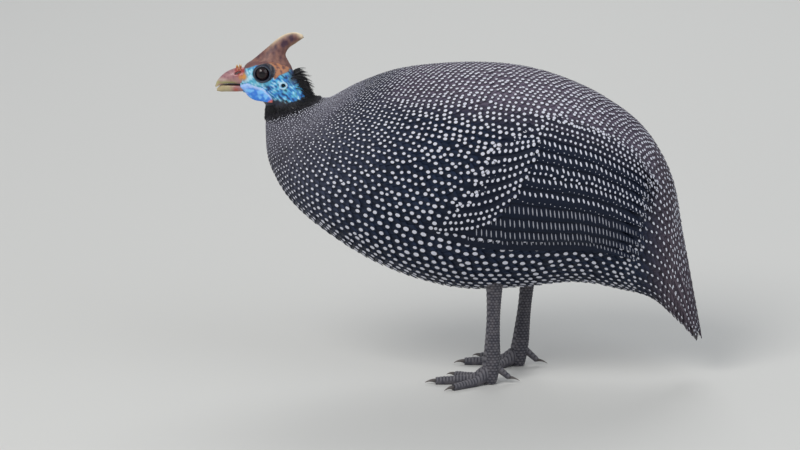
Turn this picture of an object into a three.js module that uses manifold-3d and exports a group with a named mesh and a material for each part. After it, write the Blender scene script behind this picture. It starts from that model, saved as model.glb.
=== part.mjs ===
// A helmeted guinea fowl at life size, standing hunched in profile, as a museum shows it.
// Millimetres, +Z up. The bird faces -X, its left side is at -Y, and its soles stand on Z = 0.
// The body is one form, parted by thin cuts into neck, torso and tail, and the head joins it at the throat.

import * as THREE from "three";
import { mergeVertices } from "three/addons/utils/BufferGeometryUtils.js";
import Module from "manifold-3d";

const wasm = await Module();
wasm.setup();

const GAP = 0.35; // between neighbouring nodes

// Body stations from the throat to the tail tip: the top line, the bottom line and the half width.
const BODY_STATIONS = [
  { name: "throat", top: [-166, 263], bottom: [-205, 255], half: 17 },
  { name: "collar", top: [-143, 262], bottom: [-206, 231], half: 25 },
  { name: "neck base", top: [-118, 276], bottom: [-203, 203], half: 36 },
  { name: "shoulder", top: [-84, 288], bottom: [-185, 169], half: 51 },
  { name: "breast", top: [-46, 293], bottom: [-150, 137], half: 63 },
  { name: "keel", top: [-5, 294], bottom: [-95, 104], half: 71 },
  { name: "belly", top: [30, 290.5], bottom: [-32, 85.5], half: 75 },
  { name: "flank", top: [66, 280.5], bottom: [28, 85.5], half: 73 },
  { name: "hip", top: [105, 262], bottom: [78, 90], half: 63 },
  { name: "rump", top: [141, 234], bottom: [118, 83], half: 50 },
  { name: "tail root", top: [166, 192], bottom: [149, 73.5], half: 36 },
  { name: "tail middle", top: [178.5, 133], bottom: [171, 54], half: 25 },
  { name: "tail end", top: [188.5, 78], bottom: [184, 40.5], half: 17 },
  { name: "tail tip", top: [197, 29], bottom: [195, 27], half: 9 },
];
const NECK_END = 2; // station where the neck meets the torso
const TORSO_END = 9.6; // station where the torso meets the tail
const FULLNESS = 2.25; // superellipse exponent of the body's sections
const EGG = 0.07; // the sections are wider above their middle by this share

// Tail feathers on each side, from the middle pair, which lies over the others, to the outer one.
const TAIL = {
  perSide: 5,
  phi: [9, 98], // degrees from the top line
  halfWidth: 14,
  from: 10.1,
  to: [12.98, 12.2],
};

// A folded wing lies on the torso as a curved core, which carries tiers of vanes.
const WING = {
  front: 3.5, // station of the bend of the wing
  back: 9.3, // station where the core ends
  top: 30, // degrees from the top line
  bottom: 112,
  height: 6.2, // of its outer face above the torso
};
// The tiers from the rear one to the front: each one's vanes, angles, stations and lift.
const WING_TIERS = [
  { name: "secondaries", count: 9, phi: [49, 110], from: [6.4, 5.3], to: [9.55, 9.35], lift: 0 },
  { name: "greater coverts", count: 7, phi: [45, 108], from: [5.2, 4.6], to: [7.3, 5.9], lift: 0.9 },
  { name: "middle coverts", count: 5, phi: [43, 104], from: [4.3, 4.0], to: [5.9, 4.9], lift: 1.6 },
  { name: "shoulder feathers", count: 2, phi: [35, 45], from: [5.4, 5.9], to: [8.2, 9.1], lift: 1.6 },
];

// Head stations from the base of the bill to the throat, which turn with the bent neck.
const HEAD_STATIONS = [
  { name: "bill base", top: [-227.5, 287.5], bottom: [-229, 270.5], half: 7.6 },
  { name: "lores", top: [-221, 294.5], bottom: [-224.5, 267.5], half: 11.2 },
  { name: "eye", top: [-209, 299], bottom: [-218.5, 264.5], half: 14.4 },
  { name: "crown", top: [-196, 299], bottom: [-213, 262], half: 15.6 },
  { name: "ear", top: [-185.5, 293.5], bottom: [-209, 259.5], half: 15.4 },
  { name: "nape", top: [-176.5, 282], bottom: [-206.5, 257.5], half: 14.8 },
  { name: "upper neck", top: [-170, 271], bottom: [-205.5, 256], half: 15.6 },
  { name: "throat", top: [-166, 263], bottom: [-205, 255], half: 17 },
];

// Hair-like feathers of the nape, in rows from the crown down to the upper neck.
const CREST = { rows: 4, across: 3, stations: [4.2, 6.2], pitch: 19, length: 11, radius: 1.1 };
const MOUTH = { x: -223.5, z: 275.6, slope: -4 }; // the corner of the mouth on the head's side
const BRISTLES = { count: 5, at: [-229.5, 290], length: 4.0, radius: 0.7 };

const EYE = { x: -208, y: 9.3, z: 287.4, radius: 7.4 };
const EAR = { x: -189, y: 15.4, z: 276.5, radius: 2.4 };
const NOSTRIL = { x: -230.5, y: 6.4, z: 286.6, long: 3.2, high: 1.2 };

// Casque stations from the crown to the tip: the front edge, the rear edge and the half width.
const CASQUE_STATIONS = [
  { front: [-224, 284], rear: [-181.5, 281], half: 12.5 },
  { front: [-221.5, 293.2], rear: [-181.2, 289.8], half: 12.2 },
  { front: [-211.8, 302.2], rear: [-184.6, 296.6], half: 8.4 },
  { front: [-201.6, 311], rear: [-187, 302.6], half: 5.2 },
  { front: [-194.8, 317], rear: [-184, 308.6], half: 4.3 },
  { front: [-186.8, 321.7], rear: [-178, 313], half: 3.9 },
  { front: [-178, 323.2], rear: [-172.6, 316.8], half: 3.1 },
  { front: [-171.6, 321.2], rear: [-170.2, 318.4], half: 1.4 },
];

const UPPER_BILL = [
  { top: [-227, 290.6], bottom: [-226.2, 275.6], half: 8.2 },
  { top: [-233.5, 289.8], bottom: [-231.4, 275.9], half: 7.2 },
  { top: [-240, 287.2], bottom: [-238, 276.1], half: 5.6 },
  { top: [-245.8, 282.8], bottom: [-244, 275.3], half: 3.9 },
  { top: [-249.6, 278.2], bottom: [-248.4, 273.6], half: 2.2 },
  { top: [-251.4, 273.4], bottom: [-250.9, 272.2], half: 0.6 },
];
const LOWER_BILL = [
  { top: [-226.2, 275.1], bottom: [-228.6, 268.4], half: 6.9 },
  { top: [-234, 275.3], bottom: [-234.5, 268.2], half: 5.9 },
  { top: [-240.5, 275.2], bottom: [-241, 268.2], half: 4.4 },
  { top: [-246, 273.4], bottom: [-246.5, 268.1], half: 2.6 },
  { top: [-250, 270.3], bottom: [-250, 268.9], half: 0.7 },
];

// Wattle stations from the corner of the mouth to the tip: the upper and the lower edge.
const WATTLE_STATIONS = [
  { top: [-228, 276.6], bottom: [-228, 275.2] },
  { top: [-222.5, 278.4], bottom: [-224, 271.2] },
  { top: [-216, 277.6], bottom: [-221, 267.4] },
  { top: [-209.5, 275.6], bottom: [-215, 263.8] },
  { top: [-204.7, 272.2], bottom: [-209, 262.8] },
  { top: [-201, 268.2], bottom: [-204.5, 262.2] },
  { top: [-198.4, 263.8], bottom: [-199, 262.0] },
];
const WATTLE = { thickness: 2.0, out: 12.6, flare: 5.5, lean: 2.5 };

// Each leg: the hock under the belly feathers, and the joint of the toes near the ground.
const LEGS = {
  left: { side: -1, hock: [4, 31, 94], toeJoint: [1.5, 32, 17] },
  right: { side: 1, hock: [38, 31, 94], toeJoint: [29, 31, 17] },
};
const THIGH = { top: 118, bottom: 92.5, halfLong: 17, halfWide: 14 };
const TARSUS_SCUTES = 10;
const TOES = {
  inner: { heading: -34, length: 33, radius: 3.9, scutes: 6 },
  middle: { heading: 2, length: 45, radius: 4.3, scutes: 8 },
  outer: { heading: 34, length: 36, radius: 3.9, scutes: 7 },
};
const HALLUX = { height: 15, radius: 3.1, scutes: 3 };
const CLAW = { length: 10, radius: 2.3 };

const COLOURS = {
  plumage: { color: 0x2b2a30, roughness: 0.8, metalness: 0 },
  bareSkin: { color: 0x3d8fd0, roughness: 0.5, metalness: 0 },
  horn: { color: 0xa8694a, roughness: 0.6, metalness: 0 },
  bill: { color: 0xb08a80, roughness: 0.45, metalness: 0 },
  wattle: { color: 0x3f7fe0, roughness: 0.5, metalness: 0 },
  eye: { color: 0x1a1210, roughness: 0.08, metalness: 0 },
  leg: { color: 0x4a4552, roughness: 0.7, metalness: 0 },
  claw: { color: 0x3a3230, roughness: 0.5, metalness: 0 },
};
const materials = Object.fromEntries(
  Object.entries(COLOURS).map(([name, look]) => [
    name,
    new THREE.MeshStandardMaterial(look),
  ]),
);

const radians = THREE.MathUtils.degToRad;
const lerp = THREE.MathUtils.lerp;
const smoothstep = THREE.MathUtils.smoothstep;

// Closed solids

// A three.js geometry as a manifold solid, with its faces turned outwards.
function solidOf(geometry) {
  const bare = new THREE.BufferGeometry();
  bare.setAttribute("position", geometry.getAttribute("position"));
  if (geometry.index) bare.setIndex(geometry.index);
  const merged = mergeVertices(bare, 1e-4);
  const vertProperties = new Float32Array(merged.attributes.position.array);
  const triVerts = new Uint32Array(merged.index.array);
  const build = () => {
    const mesh = new wasm.Mesh({ numProp: 3, vertProperties, triVerts });
    return new wasm.Manifold(mesh);
  };
  const solid = build();
  if (solid.volume() > 0) return solid;
  for (let i = 0; i < triVerts.length; i += 3) {
    [triVerts[i + 1], triVerts[i + 2]] = [triVerts[i + 2], triVerts[i + 1]];
  }
  return build();
}

function indexed(points, index) {
  const geometry = new THREE.BufferGeometry();
  const positions = points.flatMap((p) => [p.x, p.y, p.z]);
  geometry.setAttribute(
    "position",
    new THREE.Float32BufferAttribute(positions, 3),
  );
  geometry.setIndex(index);
  return geometry;
}

// A solid through rings of equally many points, with a fan over each end.
function loft(rings) {
  const n = rings[0].length;
  const index = [];
  for (let i = 0; i + 1 < rings.length; i += 1) {
    for (let j = 0; j < n; j += 1) {
      const k = (j + 1) % n;
      const [a, b] = [i * n + j, i * n + k];
      index.push(a, b, b + n, a, b + n, a + n);
    }
  }
  const last = (rings.length - 1) * n;
  for (let j = 1; j + 1 < n; j += 1) {
    index.push(0, j + 1, j, last, last + j, last + j + 1);
  }
  return solidOf(indexed(rings.flat(), index));
}

// A closed plate between two grids of points, with its triangles alike on both faces.
function plate(upper, lower) {
  const rows = upper.length;
  const columns = upper[0].length;
  const under = rows * columns;
  const at = (i, j) => i * columns + j;
  const index = [];
  for (let i = 0; i + 1 < rows; i += 1) {
    for (let j = 0; j + 1 < columns; j += 1) {
      const [a, b, c, d] = [
        at(i, j),
        at(i, j + 1),
        at(i + 1, j + 1),
        at(i + 1, j),
      ];
      index.push(a, b, c, a, c, d);
      index.push(
        under + a,
        under + c,
        under + b,
        under + a,
        under + d,
        under + c,
      );
    }
  }
  const wall = (a, b) =>
    index.push(a, under + b, b, a, under + a, under + b);
  for (let j = 0; j + 1 < columns; j += 1) {
    wall(at(0, j), at(0, j + 1));
    wall(at(rows - 1, j + 1), at(rows - 1, j));
  }
  for (let i = 0; i + 1 < rows; i += 1) {
    wall(at(i + 1, 0), at(i, 0));
    wall(at(i, columns - 1), at(i + 1, columns - 1));
  }
  return solidOf(indexed([...upper.flat(), ...lower.flat()], index));
}

function ball(x, y, z, rx, ry, rz, detail = 16) {
  const sphere = new THREE.SphereGeometry(1, detail, Math.round(detail * 0.6));
  sphere.scale(rx, ry, rz);
  sphere.translate(x, y, z);
  return solidOf(sphere);
}

// The largest closed surface of a fused solid, without loose scraps or sealed hollows.
function largest(solid) {
  const bodies = solid.decompose();
  return bodies.sort((a, b) => b.volume() - a.volume())[0];
}

function fused(solids) {
  return largest(wasm.Manifold.union(solids)).simplify(0.02);
}

// A form lofted along stations, each a section with a top, a bottom and a half width.
class StationForm {
  // A flat of 1 squares the upper half of each section, and one of -1 the lower half.
  constructor(stations, fullness = 2, egg = 0, flat = 0) {
    const line = (pick) => {
      const points = stations.map((s) => new THREE.Vector3(...pick(s)));
      return new THREE.CatmullRomCurve3(points, false, "centripetal");
    };
    this.count = stations.length - 1;
    this.top = line((s) => [s.top[0], 0, s.top[1]]);
    this.bottom = line((s) => [s.bottom[0], 0, s.bottom[1]]);
    this.half = line((s) => [s.half, 0, 0]);
    this.fullness = fullness;
    this.egg = egg;
    this.flat = flat;
  }

  // The surface point at station t and angle phi from the top, in radians, towards +Y.
  point(t, phi, out = 0) {
    const u = THREE.MathUtils.clamp(t / this.count, 0, 1);
    const top = this.top.getPoint(u);
    const bottom = this.bottom.getPoint(u);
    const centre = top.clone().add(bottom).multiplyScalar(0.5);
    const up = top.sub(centre);
    const power = 2 / this.fullness;
    const bend = (v) => Math.sign(v) * Math.abs(v) ** power;
    let [c, s] = [bend(Math.cos(phi)), bend(Math.sin(phi))];
    if (c * this.flat > 0) c = Math.sign(c) * Math.abs(c) ** 0.35;
    const half = this.half.getPoint(u).x * (1 + this.egg * c);
    const high = up.length();
    centre.addScaledVector(up, c * (1 + out / high));
    centre.y += s * (half + out);
    return centre;
  }

  // The outward normal there, from the neighbouring points.
  normal(t, phi) {
    const step = 0.01;
    const along = this.point(t + step, phi).sub(this.point(t - step, phi));
    const around = this.point(t, phi + step).sub(this.point(t, phi - step));
    return along.cross(around).normalize();
  }

  // The point at a height above the surface.
  above(t, phi, height) {
    return this.point(t, phi).addScaledVector(this.normal(t, phi), height);
  }

  ring(t, sides, out = 0) {
    return Array.from({ length: sides }, (_, j) =>
      this.point(t, (2 * Math.PI * j) / sides, out),
    );
  }

  solid(from, to, steps, sides, out = 0) {
    const rings = Array.from({ length: steps + 1 }, (_, i) =>
      this.ring(lerp(from, to, i / steps), sides, out),
    );
    return loft(rings);
  }
}

const root = new THREE.Group();

// Adds a solid to the model as a named mesh.
function add(name, solid, material) {
  const mesh = solid.getMesh();
  const geometry = new THREE.BufferGeometry();
  const positions = new Float32Array(mesh.numVert * 3);
  for (let i = 0; i < mesh.numVert; i += 1) {
    const start = i * mesh.numProp;
    positions.set(mesh.vertProperties.subarray(start, start + 3), i * 3);
  }
  geometry.setAttribute("position", new THREE.BufferAttribute(positions, 3));
  geometry.setIndex(new THREE.BufferAttribute(mesh.triVerts, 1));
  geometry.computeVertexNormals();
  const made = new THREE.Mesh(geometry, materials[material]);
  made.name = name;
  root.add(made);
  return solid;
}

const SIDES = { left: -1, right: 1 };

// Body

const body = new StationForm(BODY_STATIONS, FULLNESS, EGG);
const bodyCut = 0.02; // in stations: half of the thin cut between two nodes

const bodyNodes = {
  neck: { from: bodyCut, to: NECK_END - bodyCut, steps: 6, sides: 24 },
  torso: { from: NECK_END + bodyCut, to: TORSO_END - bodyCut, steps: 17, sides: 28 },
  tail: { from: TORSO_END + bodyCut, to: 12.96, steps: 8, sides: 20 },
};
const cores = {};
const guards = {}; // each node grown by the gap, which is cut from what lies on it
for (const [name, { from, to, steps, sides }] of Object.entries(bodyNodes)) {
  cores[name] = body.solid(from, to, steps, sides);
  guards[name] = body.solid(from, to, steps, sides, GAP);
}

// One feather's vane on the body: it runs from station t0 to t1 along an angle, sunk at its root.
// Its lower edge stands proud over the next vane, and its upper edge is tucked in.
function vane({ t0, t1, phi, half, base, lift }) {
  const rows = [0, 0.45, 0.85, 1];
  const shape = [0.7, 1, 0.86, 0.3];
  const grid = (drop) =>
    rows.map((s, i) =>
      [-1, 1].map((c) => {
        const t = lerp(t0, t1, s);
        const angle = phi + half * shape[i] * c;
        const sunk = i === 0 ? -1.5 : 0;
        const tuck = c < 0 ? -0.6 : 1;
        const height = base(t, angle) + sunk + lift * tuck + 0.5 * s - drop;
        const side = Math.sign(phi);
        return body.above(t, side * radians(Math.abs(angle)), height);
      }),
    );
  return plate(grid(0), grid(1.9));
}

add("neck", cores.neck, "plumage");
add("torso", cores.torso, "plumage");

function tailSolid() {
  const vanes = [];
  for (const side of [-1, 1]) {
    for (let k = 0; k < TAIL.perSide; k += 1) {
      const u = k / (TAIL.perSide - 1);
      const angle = lerp(TAIL.phi[0], TAIL.phi[1], u);
      vanes.push(
        vane({
          t0: TAIL.from,
          t1: lerp(TAIL.to[0], TAIL.to[1], u),
          phi: side * angle,
          half: side * TAIL.halfWidth,
          base: () => 0.7,
          lift: 1.2,
        }),
      );
    }
  }
  const whole = fused([cores.tail, ...vanes]);
  return largest(whole.subtract(guards.torso));
}
add("tail", tailSolid(), "plumage");

// Wings

// Where a folded wing's plate begins and ends round the body at station t, in degrees.
function wingSpan(t) {
  const u = (t - WING.front) / (WING.back - WING.front);
  const open = Math.sqrt(Math.max(0, 1 - Math.abs(2 * u - 1) ** 3.2));
  const middle = lerp(82, 78, u);
  return [
    lerp(middle, WING.top, 0.12 + 0.88 * open),
    lerp(middle, WING.bottom, 0.12 + 0.88 * open),
  ];
}

// The height of the core's outer face above the torso at station t and an angle in degrees.
function wingRise(t, angle) {
  const u = (t - WING.front) / (WING.back - WING.front);
  const [from, to] = wingSpan(t);
  const v = (Math.abs(angle) - from) / (to - from);
  const inside = (x) => THREE.MathUtils.clamp(x, 0, 1);
  const along = Math.sin(Math.PI * Math.min(inside(u) * 1.6, 0.5 + inside(u) * 0.42));
  const across = Math.sin(Math.PI * lerp(0.06, 0.94, inside(v)));
  return 1 + (WING.height - 1) * Math.max(along, 0) ** 0.7 * across ** 0.6;
}

function wingSolid(side) {
  const grid = (heightOf) =>
    Array.from({ length: 11 }, (_, i) => {
      const t = lerp(WING.front, WING.back, i / 10);
      const [from, to] = wingSpan(t);
      return Array.from({ length: 8 }, (_, j) => {
        const angle = lerp(from, to, j / 7);
        return body.above(t, side * radians(angle), heightOf(t, angle));
      });
    });
  const core = plate(
    grid(wingRise),
    grid(() => -3),
  );
  const vanes = WING_TIERS.flatMap((tier) =>
    Array.from({ length: tier.count }, (_, k) => {
      const u = k / (tier.count - 1);
      const pitch = (tier.phi[1] - tier.phi[0]) / (tier.count - 1);
      return vane({
        t0: lerp(tier.from[0], tier.from[1], u),
        t1: lerp(tier.to[0], tier.to[1], u),
        phi: side * lerp(tier.phi[0], tier.phi[1], u),
        half: side * pitch * 0.78,
        base: (t, angle) => wingRise(t, angle) + tier.lift,
        lift: 0.9,
      });
    }),
  );
  const whole = fused([core, ...vanes]);
  return largest(whole.subtract(guards.torso).subtract(guards.tail));
}

for (const [name, side] of Object.entries(SIDES)) {
  add(`wing_${name}`, wingSolid(side), "plumage");
}

// Head

// A tapered lock of hair-like feathers or a bristle, from its root to its tip.
function lock(rootAt, tip, radius) {
  const along = tip.clone().sub(rootAt).normalize();
  const across = new THREE.Vector3(0, 1, 0).cross(along).normalize();
  const other = new THREE.Vector3().crossVectors(along, across);
  const rings = [0, 0.55, 1].map((u) => {
    const size = radius * [1, 0.8, 0.22][Math.round(u * 2)];
    const centre = rootAt.clone().lerp(tip, u);
    centre.addScaledVector(across, radius * 0.8 * Math.sin(Math.PI * u));
    return [0, 1, 2, 3].map((j) => {
      const phi = (Math.PI * j) / 2;
      return centre
        .clone()
        .addScaledVector(across, Math.cos(phi) * size)
        .addScaledVector(other, Math.sin(phi) * size * 1.5);
    });
  });
  return loft(rings);
}

function crest() {
  const locks = [];
  for (let row = 0; row < CREST.rows; row += 1) {
    const u = row / (CREST.rows - 1);
    const t = lerp(CREST.stations[0], CREST.stations[1], u);
    for (let k = 0; k < CREST.across; k += 1) {
      const spread = k - (CREST.across - 1) / 2 + (row % 2 ? 0.25 : -0.25);
      const phi = radians(CREST.pitch * spread);
      const rootAt = headForm.above(t, phi, -1.5);
      const tip = headForm.above(t + 0.25, phi * 1.1, 1.5);
      tip.x += CREST.length * lerp(0.8, 0.9, u);
      tip.z += CREST.length * lerp(0.35, -0.55, u);
      locks.push(lock(rootAt, tip, CREST.radius));
    }
  }
  return locks;
}

const headForm = new StationForm(HEAD_STATIONS, 2.15, 0.05);
const headLast = HEAD_STATIONS.length - 1;
const HEAD_STEPS = 16;
const eyeBall = (side, radius, detail = 16) =>
  ball(EYE.x, side * EYE.y, EYE.z, radius, radius, radius, detail);

// A ring round an opening on the head's side, facing outwards and tipped a little forwards.
function rim(at, side, major, tube, squash, segments) {
  const torus = new THREE.TorusGeometry(major, tube, 5, segments);
  torus.scale(1, squash, 1);
  torus.rotateX(Math.PI / 2);
  torus.rotateZ(side * radians(-8));
  torus.translate(at.x, side * at.y, at.z);
  return solidOf(torus);
}

function headSolid() {
  const skull = headForm.solid(0, headLast, HEAD_STEPS, 24);
  const rims = Object.values(SIDES).flatMap((side) => [
    rim({ x: EYE.x, y: 14.4, z: EYE.z }, side, 6.9, 1.3, 0.92, 18),
    rim({ x: EAR.x, y: EAR.y - 0.2, z: EAR.z }, side, 2.7, 0.8, 0.85, 9),
  ]);
  const cuts = Object.values(SIDES).flatMap((side) => [
    eyeBall(side, EYE.radius + GAP),
    ball(EAR.x, side * (EAR.y + 0.2), EAR.z, 2.0, 3.2, 1.7, 12),
  ]);
  const mouth = new THREE.BoxGeometry(9, 60, 0.8);
  mouth.rotateY(radians(MOUTH.slope));
  mouth.translate(MOUTH.x, 0, MOUTH.z);
  const core = headForm.solid(0, headLast, HEAD_STEPS, 24, -1.2);
  cuts.push(solidOf(mouth).subtract(core));
  const cut = wasm.Manifold.union([skull, ...rims, ...crest()]).subtract(
    wasm.Manifold.union(cuts),
  );
  return largest(cut.subtract(guards.neck)).simplify(0.05);
}
const head = headSolid();
add("head", head, "bareSkin");

for (const [name, side] of Object.entries(SIDES)) {
  add(`eye_${name}`, eyeBall(side, EYE.radius), "eye");
}

// A grown copy of the head, which leaves the thin gap round all that sits on it.
const HEAD_GUARD = headForm.solid(0, headLast, HEAD_STEPS, 24, GAP);

const casqueForm = new StationForm(
  CASQUE_STATIONS.map((s) => ({ top: s.front, bottom: s.rear, half: s.half })),
  1.9,
);
const casque = largest(
  casqueForm
    .solid(0, CASQUE_STATIONS.length - 1, 14, 18)
    .subtract(HEAD_GUARD)
    .subtract(eyeBall(-1, EYE.radius + GAP))
    .subtract(eyeBall(1, EYE.radius + GAP))
    .subtract(head),
).simplify(0.03);
add("casque", casque, "horn");

const upperForm = new StationForm(UPPER_BILL, 2, -0.08, -1);
const lowerForm = new StationForm(LOWER_BILL, 2, 0.08, 1);
function upperBill() {
  const bristles = Array.from({ length: BRISTLES.count }, (_, k) => {
    const [x, z] = BRISTLES.at;
    const y = 1.3 * (k - (BRISTLES.count - 1) / 2);
    const rootAt = new THREE.Vector3(x - (k % 2) * 1.6, y, z - 1 - 0.15 * y * y);
    const tip = rootAt.clone();
    tip.x -= 1.2 * (k % 2);
    tip.y *= 1.5;
    tip.z += BRISTLES.length * (k % 2 ? 0.8 : 1);
    return lock(rootAt, tip, BRISTLES.radius);
  });
  const nostrils = Object.values(SIDES).map((side) =>
    ball(NOSTRIL.x, side * NOSTRIL.y, NOSTRIL.z, NOSTRIL.long, 1.6, NOSTRIL.high, 8),
  );
  const whole = wasm.Manifold.union([
    upperForm.solid(0, UPPER_BILL.length - 1, 10, 16),
    ...bristles,
  ]).subtract(wasm.Manifold.union(nostrils));
  return largest(whole.subtract(HEAD_GUARD)).simplify(0.03);
}
add("bill_upper", upperBill(), "bill");
const lowerBill = largest(
  lowerForm.solid(0, LOWER_BILL.length - 1, 7, 14).subtract(HEAD_GUARD),
).simplify(0.03);
add("bill_lower", lowerBill, "bill");

function wattle(side) {
  const rows = 10;
  const columns = 5;
  const [upper, lower] = ["top", "bottom"].map((key) => {
    const points = WATTLE_STATIONS.map((s) => new THREE.Vector3(s[key][0], 0, s[key][1]));
    return new THREE.CatmullRomCurve3(points, false, "centripetal");
  });
  const grid = (face) =>
    Array.from({ length: rows }, (_, i) => {
      const u = i / (rows - 1);
      const [top, bottom] = [upper.getPoint(u), lower.getPoint(u)];
      return Array.from({ length: columns }, (_, j) => {
        const v = j / (columns - 1) - 0.5;
        const lift = 1 - (2 * v) ** 2;
        const half = (WATTLE.thickness / 2) * (0.3 + 0.7 * lift);
        const place = bottom.clone().lerp(top, v + 0.5);
        place.y = side * (WATTLE.out + WATTLE.flare * u - WATTLE.lean * v + face * half);
        return place;
      });
    });
  return plate(grid(1), grid(-1));
}
for (const [name, side] of Object.entries(SIDES)) {
  add(`wattle_${name}`, largest(wattle(side).subtract(HEAD_GUARD)), "wattle");
}

// Legs

// A ring of a bent tube: at a centre, across a direction, with two half widths.
function tubeRing(centre, along, across, halfAcross, halfUp, sides, shape) {
  const up = new THREE.Vector3().crossVectors(along, across).normalize();
  return Array.from({ length: sides }, (_, j) => {
    const phi = (2 * Math.PI * (j + 0.5)) / sides;
    const grow = shape ? shape(phi) : 1;
    return centre
      .clone()
      .addScaledVector(across, Math.sin(phi) * halfAcross * grow)
      .addScaledVector(up, Math.cos(phi) * halfUp * grow);
  });
}

function tarsus(leg, grow = 0) {
  const side = leg.side;
  const [hx, hy, hz] = leg.hock;
  const [jx, jy, jz] = leg.toeJoint;
  const across = new THREE.Vector3(0, 1, 0);
  const hock = new THREE.Vector3(hx, side * hy, hz);
  const joint = new THREE.Vector3(jx, side * jy, jz);
  const along = hock.clone().sub(joint).normalize();
  const rings = [];
  for (let k = 0; k <= TARSUS_SCUTES; k += 1) {
    for (const [edge, proud] of [
      [0.04, 0.0],
      [0.96, 0.055],
    ]) {
      if (k === TARSUS_SCUTES && edge > 0.5) continue;
      const u = Math.min(1, (k + edge) / TARSUS_SCUTES);
      const centre = hock.clone().lerp(joint, u);
      const waist = 1 - Math.sin(Math.PI * Math.min(1, u * 0.92 + 0.06)) ** 1.5;
      const long = 4.7 + 2.9 * waist + grow;
      const wide = 3.9 + 1.3 * waist + grow;
      const front = (phi) =>
        1 + proud * smoothstep(Math.cos(phi), 0.1, 0.7);
      rings.push(tubeRing(centre, along, across, wide, long, 10, front));
    }
  }
  return loft(rings);
}

// A toe along the ground: a tube with a flat sole, raised plates on top and its root in the foot.
function toe(start, heading, length, radius, scutes) {
  const along = new THREE.Vector3(
    -Math.cos(heading),
    -Math.sin(heading),
    0,
  );
  const across = new THREE.Vector3(-along.y, along.x, 0);
  const rings = [];
  for (let k = 0; k < scutes; k += 1) {
    for (const [edge, proud] of [
      [0.0, 0.0],
      [0.9, 0.09],
    ]) {
      const u = (k + edge) / (scutes - 0.1);
      const size = radius * lerp(1, 0.66, u);
      const centre = start.clone().addScaledVector(along, length * u);
      centre.z = size * 0.86;
      const rise = Array.from({ length: 8 }, (_, j) => {
        const phi = (2 * Math.PI * (j + 0.5)) / 8;
        const grow = 1 + proud * Math.max(0, Math.cos(phi));
        const point = centre
          .clone()
          .addScaledVector(across, Math.sin(phi) * size * grow * 0.92);
        point.z += Math.cos(phi) * size * grow;
        point.z = Math.max(point.z, 0);
        return point;
      });
      rings.push(rise);
    }
  }
  return loft(rings);
}

// A claw: a curved cone that leaves the toe's end and bends to the ground.
function claw(start, heading, pitch, drop) {
  const rings = [];
  const steps = 4;
  const flat = new THREE.Vector3(-Math.cos(heading), -Math.sin(heading), 0);
  const across = new THREE.Vector3(-flat.y, flat.x, 0);
  for (let i = 0; i <= steps; i += 1) {
    const u = i / steps;
    const centre = start.clone().addScaledVector(flat, CLAW.length * u);
    centre.z = start.z + pitch * Math.sin(Math.PI * u * 0.6) - drop * u * u;
    const size = CLAW.radius * lerp(1, 0.14, u ** 0.9);
    const ring = Array.from({ length: 6 }, (_, j) => {
      const phi = (2 * Math.PI * (j + 0.5)) / 6;
      const point = centre
        .clone()
        .addScaledVector(across, Math.sin(phi) * size * 0.62);
      point.z = Math.max(0.05, point.z + Math.cos(phi) * size * 0.9);
      return point;
    });
    rings.push(ring);
  }
  return loft(rings);
}

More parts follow.
